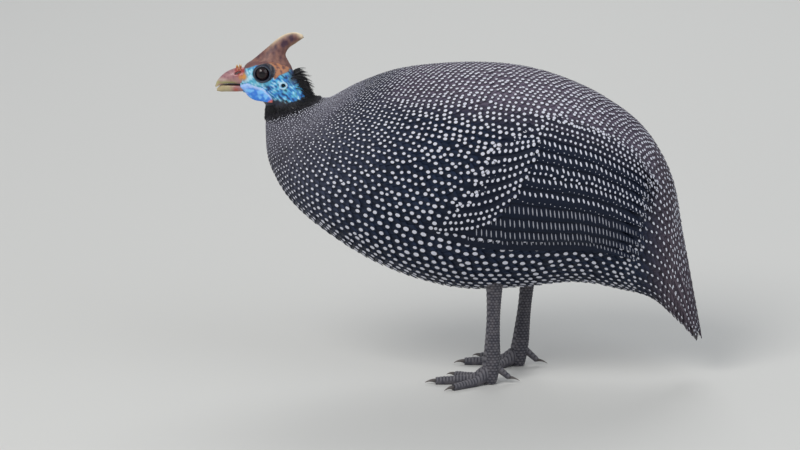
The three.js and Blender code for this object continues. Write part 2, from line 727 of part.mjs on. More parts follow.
for (const [name, leg] of Object.entries(LEGS)) {
  const { side } = leg;
  const [hx, hy, hz] = leg.hock;
  const [jx, jy, jz] = leg.toeJoint;

  const thighRings = [0, 0.35, 0.7, 1].map((u) => {
    const shrink = lerp(1, 0.62, u ** 1.6);
    const centre = new THREE.Vector3(
      hx - 7 * (1 - u),
      side * hy,
      lerp(THIGH.top, THIGH.bottom - 6, u),
    );
    return tubeRing(
      centre,
      new THREE.Vector3(0, 0, 1),
      new THREE.Vector3(0, 1, 0),
      THIGH.halfWide * shrink,
      THIGH.halfLong * shrink,
      16,
    );
  });
  const shank = tarsus(leg);
  const thigh = largest(loft(thighRings).subtract(guards.torso));
  add(`thigh_${name}`, thigh, "plumage");
  const thighFloor = THIGH.bottom - 6 - GAP;
  const shankCut = shank.trimByPlane([0, 0, -1], -thighFloor);
  const shankLow = jz - 2;
  const tarsusSolid = largest(shankCut.trimByPlane([0, 0, 1], shankLow));
  add(`tarsus_${name}`, tarsusSolid, "leg");

  // The foot's block, where the toes leave, with a flat sole.
  const blockAt = (grow) =>
    loft(
      [0, 0.3, 0.65, 1].map((u) =>
        tubeRing(
          new THREE.Vector3(
            jx - 1.5 * (1 - u),
            side * jy,
            lerp(-2 * grow, shankLow - GAP + 2 * grow, u),
          ),
          new THREE.Vector3(0, 0, 1),
          new THREE.Vector3(0, 1, 0),
          lerp(8, 5.6, u) + grow,
          lerp(9.2, 7.2, u) + grow,
          14,
        ),
      ),
    );
  const blockGuard = blockAt(GAP);
  add(`foot_${name}`, blockAt(0), "leg");

  // Toes fan out from the joint; planes between their headings part them at the root.
  const joint = new THREE.Vector3(jx - 1.5, side * jy, 0);
  const specs = Object.entries(TOES);
  specs.forEach(([toeName, spec], order) => {
    const heading = radians(-side * spec.heading);
    const along = new THREE.Vector3(-Math.cos(heading), -Math.sin(heading), 0);
    const start = joint.clone().addScaledVector(along, 5);
    let made = toe(start, heading, spec.length, spec.radius, spec.scutes);
    made = made.subtract(blockGuard);
    for (const neighbour of [order - 1, order + 1]) {
      if (!specs[neighbour]) continue;
      const between = radians(
        (-side * (spec.heading + specs[neighbour][1].heading)) / 2,
      );
      const way = new THREE.Vector3(Math.sin(between), -Math.cos(between), 0);
      if (way.dot(along) < 0) way.negate();
      made = made.trimByPlane(way.toArray(), way.dot(joint) + GAP / 2);
    }
    add(`toe_${toeName}_${name}`, largest(made), "leg");
    const end = start.clone().addScaledVector(along, spec.length + GAP);
    end.z = spec.radius * 0.66 * 0.86;
    add(`claw_${toeName}_${name}`, claw(end, heading, 1.6, 2.6), "claw");
  });

  // The hind toe leaves the shank's back and slopes to the ground behind it.
  const hindEnd = new THREE.Vector3(jx + 16, side * (jy - 2), 5.4);
  const hindStart = new THREE.Vector3(jx + 1, side * jy, HALLUX.height + 3.5);
  const hindWay = hindStart.clone().sub(hindEnd).normalize();
  const hindRings = Array.from({ length: 2 * HALLUX.scutes }, (_, i) => {
    const u = i / (2 * HALLUX.scutes - 1);
    return tubeRing(
      hindStart.clone().lerp(hindEnd, u),
      hindWay,
      new THREE.Vector3(0, 1, 0),
      HALLUX.radius * lerp(0.95, 0.66, u),
      HALLUX.radius * lerp(1, 0.7, u) * (i % 2 ? 1.1 : 1),
      8,
    );
  });
  const shankGuard = tarsus(leg, GAP).trimByPlane([0, 0, 1], shankLow - GAP);
  const hind = loft(hindRings).subtract(blockGuard).subtract(shankGuard);
  add(`toe_hind_${name}`, largest(hind), "leg");
  const away = hindWay.clone().negate();
  const hindClaw = claw(hindEnd, Math.PI, 0.4, 3.6).trimByPlane(
    away.toArray(),
    away.dot(hindEnd) + GAP,
  );
  add(`claw_hind_${name}`, hindClaw, "claw");
}

root.updateMatrixWorld(true);
const box = new THREE.Box3().setFromObject(root);
const middle = box.getCenter(new THREE.Vector3());
root.position.set(-middle.x, -middle.y, -box.min.z);

export default root;
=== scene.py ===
"""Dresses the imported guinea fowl: one skin, its feathers and spots, head, bill, casque, eyes and legs."""

from __future__ import annotations

import logging
import math
from dataclasses import dataclass, field
from enum import Enum

import bpy
import numpy as np
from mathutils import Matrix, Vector, noise


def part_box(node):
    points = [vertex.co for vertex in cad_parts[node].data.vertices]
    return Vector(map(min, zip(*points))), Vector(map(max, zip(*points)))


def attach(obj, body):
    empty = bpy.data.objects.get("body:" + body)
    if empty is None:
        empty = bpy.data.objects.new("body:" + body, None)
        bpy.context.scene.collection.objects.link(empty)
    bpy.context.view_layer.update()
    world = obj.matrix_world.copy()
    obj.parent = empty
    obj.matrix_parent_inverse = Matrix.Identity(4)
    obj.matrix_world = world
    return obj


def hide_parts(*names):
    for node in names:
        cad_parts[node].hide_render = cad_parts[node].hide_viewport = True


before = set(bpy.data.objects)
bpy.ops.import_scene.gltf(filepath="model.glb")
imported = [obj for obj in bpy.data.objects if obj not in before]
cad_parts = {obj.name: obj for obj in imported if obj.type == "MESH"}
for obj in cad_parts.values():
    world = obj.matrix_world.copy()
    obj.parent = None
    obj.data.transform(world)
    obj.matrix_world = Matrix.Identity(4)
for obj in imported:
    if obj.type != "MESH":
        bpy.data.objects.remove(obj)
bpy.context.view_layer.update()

log = logging.getLogger("guinea_fowl")

MM = 0.001
Array = np.ndarray
Colour = tuple[float, float, float]


# Shapes shared with the solids, in millimetres before the model is centred


@dataclass(frozen=True)
class Station:
    """One section of a lofted form: its top, its bottom and its half width."""

    top: tuple[float, float]
    bottom: tuple[float, float]
    half: float


BODY_STATIONS = (
    Station((-166, 263), (-205, 255), 17),
    Station((-143, 262), (-206, 231), 25),
    Station((-118, 276), (-203, 203), 36),
    Station((-84, 288), (-185, 169), 51),
    Station((-46, 293), (-150, 137), 63),
    Station((-5, 294), (-95, 104), 71),
    Station((30, 290.5), (-32, 85.5), 75),
    Station((66, 280.5), (28, 85.5), 73),
    Station((105, 262), (78, 90), 63),
    Station((141, 234), (118, 83), 50),
    Station((166, 192), (149, 73.5), 36),
    Station((178.5, 133), (171, 54), 25),
    Station((188.5, 78), (184, 40.5), 17),
    Station((197, 29), (195, 27), 9),
)
HEAD_STATIONS = (
    Station((-227.5, 287.5), (-229, 270.5), 7.6),
    Station((-221, 294.5), (-224.5, 267.5), 11.2),
    Station((-209, 299), (-218.5, 264.5), 14.4),
    Station((-196, 299), (-213, 262), 15.6),
    Station((-185.5, 293.5), (-209, 259.5), 15.4),
    Station((-176.5, 282), (-206.5, 257.5), 14.8),
    Station((-170, 271), (-205.5, 256), 15.6),
    Station((-166, 263), (-205, 255), 17),
)
CASQUE_STATIONS = (
    Station((-224, 284), (-181.5, 281), 12.5),
    Station((-221.5, 293.2), (-181.2, 289.8), 12.2),
    Station((-211.8, 302.2), (-184.6, 296.6), 8.4),
    Station((-201.6, 311), (-187, 302.6), 5.2),
    Station((-194.8, 317), (-184, 308.6), 4.3),
    Station((-186.8, 321.7), (-178, 313), 3.9),
    Station((-178, 323.2), (-172.6, 316.8), 3.1),
    Station((-171.6, 321.2), (-170.2, 318.4), 1.4),
)
UPPER_BILL = (
    Station((-225, 290.6), (-224.6, 275.6), 8.6),
    Station((-229, 290.5), (-228.2, 275.7), 8.1),
    Station((-233.5, 289.8), (-231.4, 275.9), 7.2),
    Station((-240, 287.2), (-238, 276.1), 5.6),
    Station((-245.8, 282.8), (-244, 275.3), 3.9),
    Station((-249.6, 278.2), (-248.4, 273.6), 2.2),
    Station((-251.4, 273.4), (-250.9, 272.2), 0.6),
)
LOWER_BILL = (
    Station((-224.5, 275.1), (-226.6, 268.6), 7.2),
    Station((-228, 275.1), (-230, 268.4), 6.7),
    Station((-234, 275.3), (-234.5, 268.2), 5.9),
    Station((-240.5, 275.2), (-241, 268.2), 4.4),
    Station((-246, 274.3), (-246.5, 268.1), 2.7),
    Station((-250, 271.1), (-250, 268.9), 0.8),
)
WATTLE_STATIONS = (
    Station((-228, 276.6), (-228, 275.2), 0.4),
    Station((-222.5, 278.4), (-224, 271.2), 1.0),
    Station((-216, 277.6), (-221, 267.4), 1.0),
    Station((-209.5, 275.6), (-215, 263.8), 1.0),
    Station((-204.7, 272.2), (-209, 262.8), 1.0),
    Station((-201, 268.2), (-204.5, 262.2), 1.0),
    Station((-198.4, 263.8), (-199, 262.0), 0.5),
)
EYE = Vector((-208, 9.3, 287.4))
EYE_RADIUS = 7.4
EAR = Vector((-189, 15.4, 276.5))

_low, _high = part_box("eye_left")
SHIFT = ((_low.x + _high.x) / 2 / MM - EYE.x) * MM  # how far the centred model moved along X


def smooth_line(points: Array, u: Array) -> Array:
    """Points on a centripetal Catmull-Rom curve.

    Args:
        points: The curve's control points, one in each row.
        u: Places along it, from 0 at the first point to 1 at the last.

    Returns:
        One point for each place.
    """
    count = len(points)
    padded = np.vstack([2 * points[0] - points[1], points, 2 * points[-1] - points[-2]])
    place = np.clip(u, 0, 1) * (count - 1)
    cell = np.minimum(place.astype(int), count - 2)
    w = (place - cell)[:, None]
    p0, p1, p2, p3 = (padded[cell + k] for k in range(4))
    d0, d1, d2 = (
        np.maximum(np.sum((b - a) ** 2, axis=1) ** 0.25, 1e-4)[:, None]
        for a, b in ((p0, p1), (p1, p2), (p2, p3))
    )
    m1 = ((p1 - p0) / d0 - (p2 - p0) / (d0 + d1) + (p2 - p1) / d1) * d1
    m2 = ((p2 - p1) / d1 - (p3 - p1) / (d1 + d2) + (p3 - p2) / d2) * d1
    return (
        p1
        + m1 * w
        + (-3 * p1 + 3 * p2 - 2 * m1 - m2) * w**2
        + (2 * p1 - 2 * p2 + m1 + m2) * w**3
    )


def step(low: float, high: float, x: Array) -> Array:
    """A smooth step from 0 at low to 1 at high."""
    v = np.clip((np.asarray(x, float) - low) / (high - low), 0, 1)
    return v * v * (3 - 2 * v)


def blend(a: Colour | Array, b: Colour | Array, mask: Array) -> Array:
    """Colours between a and b, by a mask from 0 to 1."""
    m = np.asarray(mask)[..., None]
    return np.asarray(a) * (1 - m) + np.asarray(b) * m


class StationForm:
    """A form lofted along stations, each a section of a superellipse."""

    STEPS = 1400

    def __init__(
        self, stations: tuple[Station, ...], fullness: float, egg: float = 0.0, flat: int = 0
    ) -> None:
        """Samples the form's lines.

        Args:
            stations: The sections in order.
            fullness: The superellipse exponent of each section.
            egg: The share by which a section is wider above its middle.
            flat: 1 squares the upper half of each section, and -1 the lower half.
        """
        self.last = len(stations) - 1
        self.power = 2 / fullness
        self.egg = egg
        self.flat = flat
        u = np.linspace(0, 1, self.STEPS + 1)
        tops = np.array([s.top for s in stations], float)
        bottoms = np.array([s.bottom for s in stations], float)
        halves = np.array([[s.half, 0.0] for s in stations], float)
        self.lines = np.hstack(
            [smooth_line(tops, u), smooth_line(bottoms, u), smooth_line(halves, u)[:, :1]]
        )

    def point(self, t: Array, phi: Array) -> Array:
        """Points of the surface at stations t and angles phi from the top, in millimetres."""
        place = np.clip(t / self.last, 0, 1) * self.STEPS
        cell = np.minimum(place.astype(int), self.STEPS - 1)
        w = (place - cell)[..., None]
        line = self.lines[cell] * (1 - w) + self.lines[cell + 1] * w
        top, bottom, half = line[..., 0:2], line[..., 2:4], line[..., 4]
        centre, up = (top + bottom) / 2, (top - bottom) / 2
        c, s = np.cos(phi), np.sin(phi)
        c = np.sign(c) * np.abs(c) ** self.power
        s = np.sign(s) * np.abs(s) ** self.power
        c = np.where(c * self.flat > 0, np.sign(c) * np.abs(c) ** 0.35, c)
        xz = centre + up * c[..., None]
        y = s * (half * (1 + self.egg * c))
        return np.stack([xz[..., 0], y, xz[..., 1]], axis=-1)

    def above(self, t: Array, phi: Array, height: Array | float) -> Array:
        """Points at a height above the surface, along its normal."""
        e = 0.012
        inner = np.clip(t, e, self.last - e)
        along = self.point(inner + e, phi) - self.point(inner - e, phi)
        around = self.point(inner, phi + e) - self.point(inner, phi - e)
        normal = np.cross(along, around)
        normal /= np.maximum(np.linalg.norm(normal, axis=-1, keepdims=True), 1e-9)
        return self.point(t, phi) + normal * np.asarray(height)[..., None]

    def reach(self, t: Array, phi: Array) -> tuple[Array, Array]:
        """Millimetres travelled for one station and for one radian, at each place."""
        e = 0.02
        inner = np.clip(t, e, self.last - e)
        along = np.linalg.norm(self.point(inner + e, phi) - self.point(inner - e, phi), axis=-1)
        around = np.linalg.norm(self.point(inner, phi + e) - self.point(inner, phi - e), axis=-1)
        return along / (2 * e), around / (2 * e)


BODY = StationForm(BODY_STATIONS, 2.25, 0.07)
HEAD = StationForm(HEAD_STATIONS, 2.15, 0.05)


@dataclass(frozen=True)
class Wing:
    """Where a folded wing lies on the body, as in the solids.

    Attributes:
        front: The station where it begins.
        back: The station where it ends.
        top: The angle of its upper edge in degrees from the top of the back.
        bottom: The angle of its lower edge.
        height: How far its face stands out from the body, in millimetres.
    """

    front: float = 3.5
    back: float = 9.3
    top: float = 30.0
    bottom: float = 112.0
    height: float = 6.2

    def span(self, t: Array) -> tuple[Array, Array]:
        """The angles between which the wing lies at station t, in degrees."""
        u = (t - self.front) / (self.back - self.front)
        inside = np.maximum(0, 1 - np.abs(2 * np.clip(u, 0, 1) - 1) ** 3.2) ** 0.5
        middle = 82 - 4 * u
        share = 0.12 + 0.88 * inside
        return middle + (self.top - middle) * share, middle + (self.bottom - middle) * share

    def rise(self, t: Array, phi: Array) -> Array:
        """The height of the wing's face above the body, zero away from the wing."""
        u = (t - self.front) / (self.back - self.front)
        low, high = self.span(t)
        v = (np.abs(np.degrees(phi)) - low) / (high - low)
        along = np.sin(np.pi * np.minimum(np.clip(u, 0, 1) * 1.6, 0.5 + np.clip(u, 0, 1) * 0.42))
        across = np.sin(np.pi * np.clip(v, 0, 1))
        edge = step(-0.02, 0.08, u) * step(1.03, 0.95, u) * step(-0.06, 0.06, v) * step(1.06, 0.98, v)
        return edge * (1 + (self.height - 1) * np.maximum(along, 0) ** 0.7 * np.maximum(across, 0) ** 0.6)


WING = Wing()


# Finishes


@dataclass(frozen=True)
class Finish:
    """A finish whose colour comes from the mesh's tint, varied by fine noise.

    Attributes:
        name: The material's name.
        slot: The record's material slot; not used.
        roughness: The shader's roughness.
        grain: How many noise cells fit in a metre.
        mottle: How far the noise darkens and lightens the tint.
        relief: The strength of the bump.
        barbs: Whether fine barbs run along each vane.
        coat: The shader's coat weight.
        subsurface: The shader's subsurface weight.
        gloss: The shader's specular level.
    """

    name: str
    slot: str
    roughness: float = 0.6
    grain: float = 900.0
    mottle: float = 0.25
    relief: float = 0.25
    barbs: bool = False
    coat: float = 0.0
    subsurface: float = 0.0
    gloss: float = 0.5

    def material(self) -> bpy.types.Material:
        """The material, made once and then reused."""
        made = bpy.data.materials.get(self.name)
        if made:
            return made
        made = bpy.data.materials.new(self.name)
        made.use_nodes = True
        nodes, links = made.node_tree.nodes, made.node_tree.links
        shader = nodes["Principled BSDF"]
        shader.inputs["Roughness"].default_value = self.roughness
        shader.inputs["Coat Weight"].default_value = self.coat
        shader.inputs["Specular IOR Level"].default_value = self.gloss
        shader.inputs["Subsurface Weight"].default_value = self.subsurface
        shader.inputs["Subsurface Scale"].default_value = 0.002
        tint = nodes.new("ShaderNodeAttribute")
        tint.attribute_name = "Tint"
        group = nodes.new("ShaderNodeGroup")
        group.node_tree = barb_group() if self.barbs else mottle_group()
        group.inputs["Grain"].default_value = self.grain
        group.inputs["Amount"].default_value = self.mottle
        group.inputs["Relief"].default_value = self.relief
        links.new(tint.outputs["Color"], group.inputs["Tint"])
        links.new(group.outputs["Colour"], shader.inputs["Base Color"])
        links.new(group.outputs["Normal"], shader.inputs["Normal"])
        return made


def new_group(name: str) -> bpy.types.NodeTree:
    """An empty shader group with the sockets that both surface effects share."""
    group = bpy.data.node_groups.new(name, "ShaderNodeTree")
    for label, kind in (
        ("Tint", "NodeSocketColor"),
        ("Grain", "NodeSocketFloat"),
        ("Amount", "NodeSocketFloat"),
        ("Relief", "NodeSocketFloat"),
    ):
        group.interface.new_socket(label, in_out="INPUT", socket_type=kind)
    group.interface.new_socket("Colour", in_out="OUTPUT", socket_type="NodeSocketColor")
    group.interface.new_socket("Normal", in_out="OUTPUT", socket_type="NodeSocketVector")
    return group


def add_math(
    group: bpy.types.NodeTree, operation: str, *values: bpy.types.NodeSocket | float
) -> bpy.types.NodeSocket:
    """Adds a math node to a group.

    Args:
        group: Where it goes.
        operation: What it works out.
        values: Its inputs in order, each a number or an output to link.

    Returns:
        Its output.
    """
    node = group.nodes.new("ShaderNodeMath")
    node.operation = operation
    for socket, value in zip(node.inputs, values):
        if isinstance(value, bpy.types.NodeSocket):
            group.links.new(value, socket)
        else:
            socket.default_value = value
    return node.outputs[0]


def finish_group(group: bpy.types.NodeTree, pattern: bpy.types.NodeSocket) -> None:
    """Uses a pattern from 0 to 1 to vary the tint and to raise the surface.

    Args:
        group: The group whose sockets new_group made.
        pattern: The output that carries the pattern.
    """
    nodes, links = group.nodes, group.links
    source = next(n for n in nodes if n.bl_idname == "NodeGroupInput")
    out = nodes.new("NodeGroupOutput")
    centred = add_math(group, "SUBTRACT", pattern, 0.5)
    scaled = add_math(group, "MULTIPLY_ADD", centred, source.outputs["Amount"], 1.0)
    lit = nodes.new("ShaderNodeVectorMath")
    lit.operation = "SCALE"
    links.new(source.outputs["Tint"], lit.inputs[0])
    links.new(scaled, lit.inputs["Scale"])
    links.new(lit.outputs[0], out.inputs["Colour"])
    bump = nodes.new("ShaderNodeBump")
    bump.inputs["Distance"].default_value = 0.0006
    links.new(source.outputs["Relief"], bump.inputs["Strength"])
    links.new(pattern, bump.inputs["Height"])
    links.new(bump.outputs["Normal"], out.inputs["Normal"])


def mottle_group() -> bpy.types.NodeTree:
    """The effect of fine uneven skin or horn."""
    group = bpy.data.node_groups.get("fine_mottle")
    if group:
        return group
    group = new_group("fine_mottle")
    nodes, links = group.nodes, group.links
    source = nodes.new("NodeGroupInput")
    place = nodes.new("ShaderNodeTexCoord")
    cells = nodes.new("ShaderNodeTexNoise")
    cells.inputs["Detail"].default_value = 4.0
    links.new(place.outputs["Object"], cells.inputs["Vector"])
    links.new(source.outputs["Grain"], cells.inputs["Scale"])
    finish_group(group, cells.outputs["Fac"])
    return group


def barb_group() -> bpy.types.NodeTree:
    """The effect of barbs that slant from a vane's shaft to its edges."""
    group = bpy.data.node_groups.get("vane_barbs")
    if group:
        return group
    group = new_group("vane_barbs")
    nodes, links = group.nodes, group.links
    source = nodes.new("NodeGroupInput")
    place = nodes.new("ShaderNodeUVMap")
    place.uv_map = "Vane"
    parts = nodes.new("ShaderNodeSeparateXYZ")
    links.new(place.outputs["UV"], parts.inputs[0])
    side = add_math(group, "ABSOLUTE", parts.outputs["X"])
    slant = add_math(group, "MULTIPLY_ADD", side, -0.55, parts.outputs["Y"])
    wave = add_math(group, "MULTIPLY", slant, source.outputs["Grain"])
    ridge = add_math(group, "SINE", wave)
    finish_group(group, add_math(group, "MULTIPLY_ADD", ridge, 0.5, 0.5))
    return group


@dataclass(frozen=True)
class PlainFinish:
    """A finish of one colour, which stays crisp on small marks and in the eye.

    Attributes:
        name: The material's name.
        slot: The record's material slot; not used.
        colour: Its colour.
        roughness: The shader's roughness.
        gloss: The shader's specular level.
    """

    name: str
    slot: str
    colour: Colour
    roughness: float
    gloss: float = 0.5

    def material(self) -> bpy.types.Material:
        """The material, made once and then reused."""
        made = bpy.data.materials.get(self.name)
        if made:
            return made
        made = bpy.data.materials.new(self.name)
        made.use_nodes = True
        shader = made.node_tree.nodes["Principled BSDF"]
        shader.inputs["Base Color"].default_value = (*self.colour, 1)
        shader.inputs["Roughness"].default_value = self.roughness
        shader.inputs["Specular IOR Level"].default_value = self.gloss
        return made


SKIN_FINISH = Finish("face_skin", "bare_skin", 0.42, 700, 0.3, 0.35, subsurface=0.15)
VANE_FINISH = Finish("feather_vanes", "plumage", 0.5, 170, 0.35, 0.3, barbs=True, gloss=0.22)
DOWN_FINISH = Finish("hair_feathers", "plumage", 0.5, 1500, 0.3, 0.1)
HORN_FINISH = Finish("casque_horn", "horn", 0.55, 420, 0.5, 0.6)
BILL_FINISH = Finish("bill_horn", "bill", 0.35, 500, 0.2, 0.15, coat=0.15)
LEG_FINISH = Finish("leg_scales", "leg", 0.55, 1300, 0.45, 0.5, gloss=0.35)
CLAW_FINISH = Finish("claw_horn", "claw", 0.45, 800, 0.3, 0.2)
SPOT_FINISH = PlainFinish("white_spots", "plumage", (0.62, 0.63, 0.72), 0.65)
THIN_FINISH = PlainFinish("grey_bars", "plumage", (0.33, 0.34, 0.40), 0.65)
RING_FINISH = PlainFinish("dark_rings", "plumage", (0.012, 0.011, 0.016), 0.6)
EYE_FINISH = PlainFinish("dark_eye", "eye", (0.005, 0.003, 0.005), 0.07, 0.4)
IRIS_FINISH = PlainFinish("brown_iris", "eye", (0.022, 0.010, 0.012), 0.10, 0.4)


# Mesh building


@dataclass
class Soup:
    """Arrays of joined pieces that become one mesh.

    Attributes:
        points: Vertex places in millimetres, before the model is centred.
        faces: Faces as rows of vertex numbers, by number of corners.
        tint: A colour for each vertex.
        patch: The place on the bake map for each vertex.
        local: The place on its own vane for each vertex.
        marks: A material index for each face array.
        size: How many vertices there are.
    """

    points: list[Array] = field(default_factory=list)
    faces: list[Array] = field(default_factory=list)
    tint: list[Array] = field(default_factory=list)
    patch: list[Array] = field(default_factory=list)
    local: list[Array] = field(default_factory=list)
    marks: list[int] = field(default_factory=list)
    size: int = 0

    def add(
        self, points: Array, faces: list[tuple[Array, int]], tint: Array, patch: Array, local: Array
    ) -> None:
        """Adds vertices, with faces that count from the first of them.

        Args:
            points: Vertex places.
            faces: Pairs of a face array and its material index.
            tint: Vertex colours.
            patch: Bake map places.
            local: Vane places.
        """
        self.points.append(points.reshape(-1, 3))
        self.tint.append(np.broadcast_to(tint, points.shape).reshape(-1, 3))
        self.patch.append(patch.reshape(-1, 2))
        self.local.append(local.reshape(-1, 2))
        for rows, mark in faces:
            self.faces.append(rows + self.size)
            self.marks.append(mark)
        self.size += points.reshape(-1, 3).shape[0]

    def build(
        self,
        name: str,
        finishes: list[Finish | PlainFinish],
        nodes: tuple[str, ...] = (),
        mapped: bool = False,
    ) -> bpy.types.Object:
        """Makes the mesh object, dresses it and lets it ride on the part.

        Args:
            name: The object's name.
            finishes: The finishes, in the order of the material indices.
            nodes: The solids that the piece stands for.
            mapped: Whether it keeps its bake and vane maps, as feathers do.

        Returns:
            The object.
        """
        points = np.concatenate(self.points) * MM
        points[:, 0] += SHIFT
        faces = [row for rows in self.faces for row in rows.tolist()]
        mesh = bpy.data.meshes.new(name)
        mesh.from_pydata(points.tolist(), [], faces)
        loops = np.zeros(len(mesh.loops), np.int32)
        mesh.loops.foreach_get("vertex_index", loops)
        maps = (("OFBake", self.patch), ("Vane", self.local)) if mapped else ()
        for label, parts in maps:
            layer = mesh.uv_layers.new(name=label)
            values = np.concatenate(parts)[loops].astype(np.float32)
            layer.data.foreach_set("uv", values.ravel())
        tint = mesh.color_attributes.new("Tint", "FLOAT_COLOR", "POINT")
        colours = np.concatenate(self.tint)
        rgba = np.hstack([colours, np.ones((len(colours), 1))]).astype(np.float32)
        tint.data.foreach_set("color", rgba.ravel())
        marks = np.repeat(self.marks, [len(rows) for rows in self.faces]).astype(np.int32)
        mesh.polygons.foreach_set("material_index", marks)
        mesh.polygons.foreach_set("use_smooth", np.ones(len(mesh.polygons), bool))
        made = bpy.data.objects.new(name, mesh)
        bpy.context.scene.collection.objects.link(made)
        for finish in finishes:
            mesh.materials.append(finish.material())
        mesh.update()
        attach(made, "root")
        if nodes:
            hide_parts(*nodes)
        log.info("%s: %d faces", name, len(mesh.polygons))
        return made


def ring_faces(rings: int, sides: int) -> Array:
    """Quads between rings of equally many points, facing outwards for rings that run towards +X."""
    i, j = np.meshgrid(np.arange(rings - 1), np.arange(sides), indexing="ij")
    k = (j + 1) % sides
    a, b = i * sides + j, i * sides + k
    return np.stack([a, a + sides, b + sides, b], axis=-1).reshape(-1, 4)


def form_net(first: float, last: float, rings: int, sides: int) -> tuple[Array, Array]:
    """Stations from first to last and angles all round, for rings of points on a form."""
    t = np.linspace(first, last, rings)
    return np.meshgrid(t, np.linspace(-math.pi, math.pi, sides, endpoint=False), indexing="ij")


def tube_net(rings: int, sides: int) -> tuple[Array, Array]:
    """Shares from 0 to 1 along a tube and angles round it, for rings of points."""
    u = np.linspace(0, 1, rings)
    return np.meshgrid(u, np.linspace(0, 2 * math.pi, sides, endpoint=False), indexing="ij")


def tube(soup: Soup, rings: Array, tint: Array) -> None:
    """Adds a closed loft through rings of points.

    Args:
        soup: Where it goes.
        rings: Points by ring and side.
        tint: A colour for each point, or one for all.
    """
    count, sides = rings.shape[:2]
    ends = np.stack([rings[0].mean(0), rings[-1].mean(0)])
    points = np.concatenate([rings.reshape(-1, 3), ends])
    colours = np.broadcast_to(tint, rings.shape).reshape(-1, 3)
    colours = np.concatenate([colours, colours[:1], colours[-1:]])
    j = np.arange(sides)
    k = (j + 1) % sides
    first = np.stack([np.full(sides, count * sides), j, k], axis=-1)
    last = (count - 1) * sides
    final = np.stack([np.full(sides, count * sides + 1), last + k, last + j], axis=-1)
    i, s = np.meshgrid(np.linspace(0, 1, count), np.linspace(0, 1, sides), indexing="ij")
    flat = np.stack([s, i], axis=-1).reshape(-1, 2)
    flat = np.concatenate([flat, flat[:1], flat[-1:]])
    soup.add(points, [(ring_faces(count, sides), 0), (first, 0), (final, 0)], colours, flat, flat)


@dataclass
class Vanes:
    """Many feathers that lie on a form, each as its own field of places.

    Attributes:
        t: The station of each root.
        phi: The angle of each root, in radians.
        length: Each length in stations.
        half: Each half width in radians.
        turn: How far each tip turns in radians.
        root: Each root's height above the face.
        tip: Each tip's height.
        camber: How far the edges droop.
        tuck: How far the lower edge stands above the upper edge.
        blunt: How full the tip is.
    """

    t: Array
    phi: Array
    length: Array
    half: Array
    turn: Array
    root: Array
    tip: Array
    camber: float = 0.5
    tuck: float = 0.0
    blunt: float = 0.5

    def at(self, index: Array, s: Array, c: Array) -> tuple[Array, Array, Array]:
        """Station, angle and height at shares s along and c across, of the feathers index."""
        side = np.sign(self.phi[index])
        narrowing = np.maximum(1 - np.maximum(s - 0.72, 0) / 0.28, 0) ** self.blunt
        width = np.minimum(0.55 + 1.5 * s, 1) * narrowing
        width = np.where(s >= 0.999, 0.22, np.maximum(width, 0.22))
        t = self.t[index] + self.length[index] * (s - 0.05 * c**2 * s)
        phi = self.phi[index] + self.turn[index] * s**1.5 + self.half[index] * c * width
        lift = self.root[index] + (self.tip[index] - self.root[index]) * s**0.7
        height = lift - self.camber * c**2 + self.tuck * c * side * 0.5
        return t, phi, height + WING.rise(t, phi)

    def millimetres(self, k: int, t: float) -> float:
        """The length of feather k in millimetres, as measured at station t."""
        per_t, _ = BODY.reach(np.array([t]), self.phi[k : k + 1])
        return self.length[k] * per_t[0]


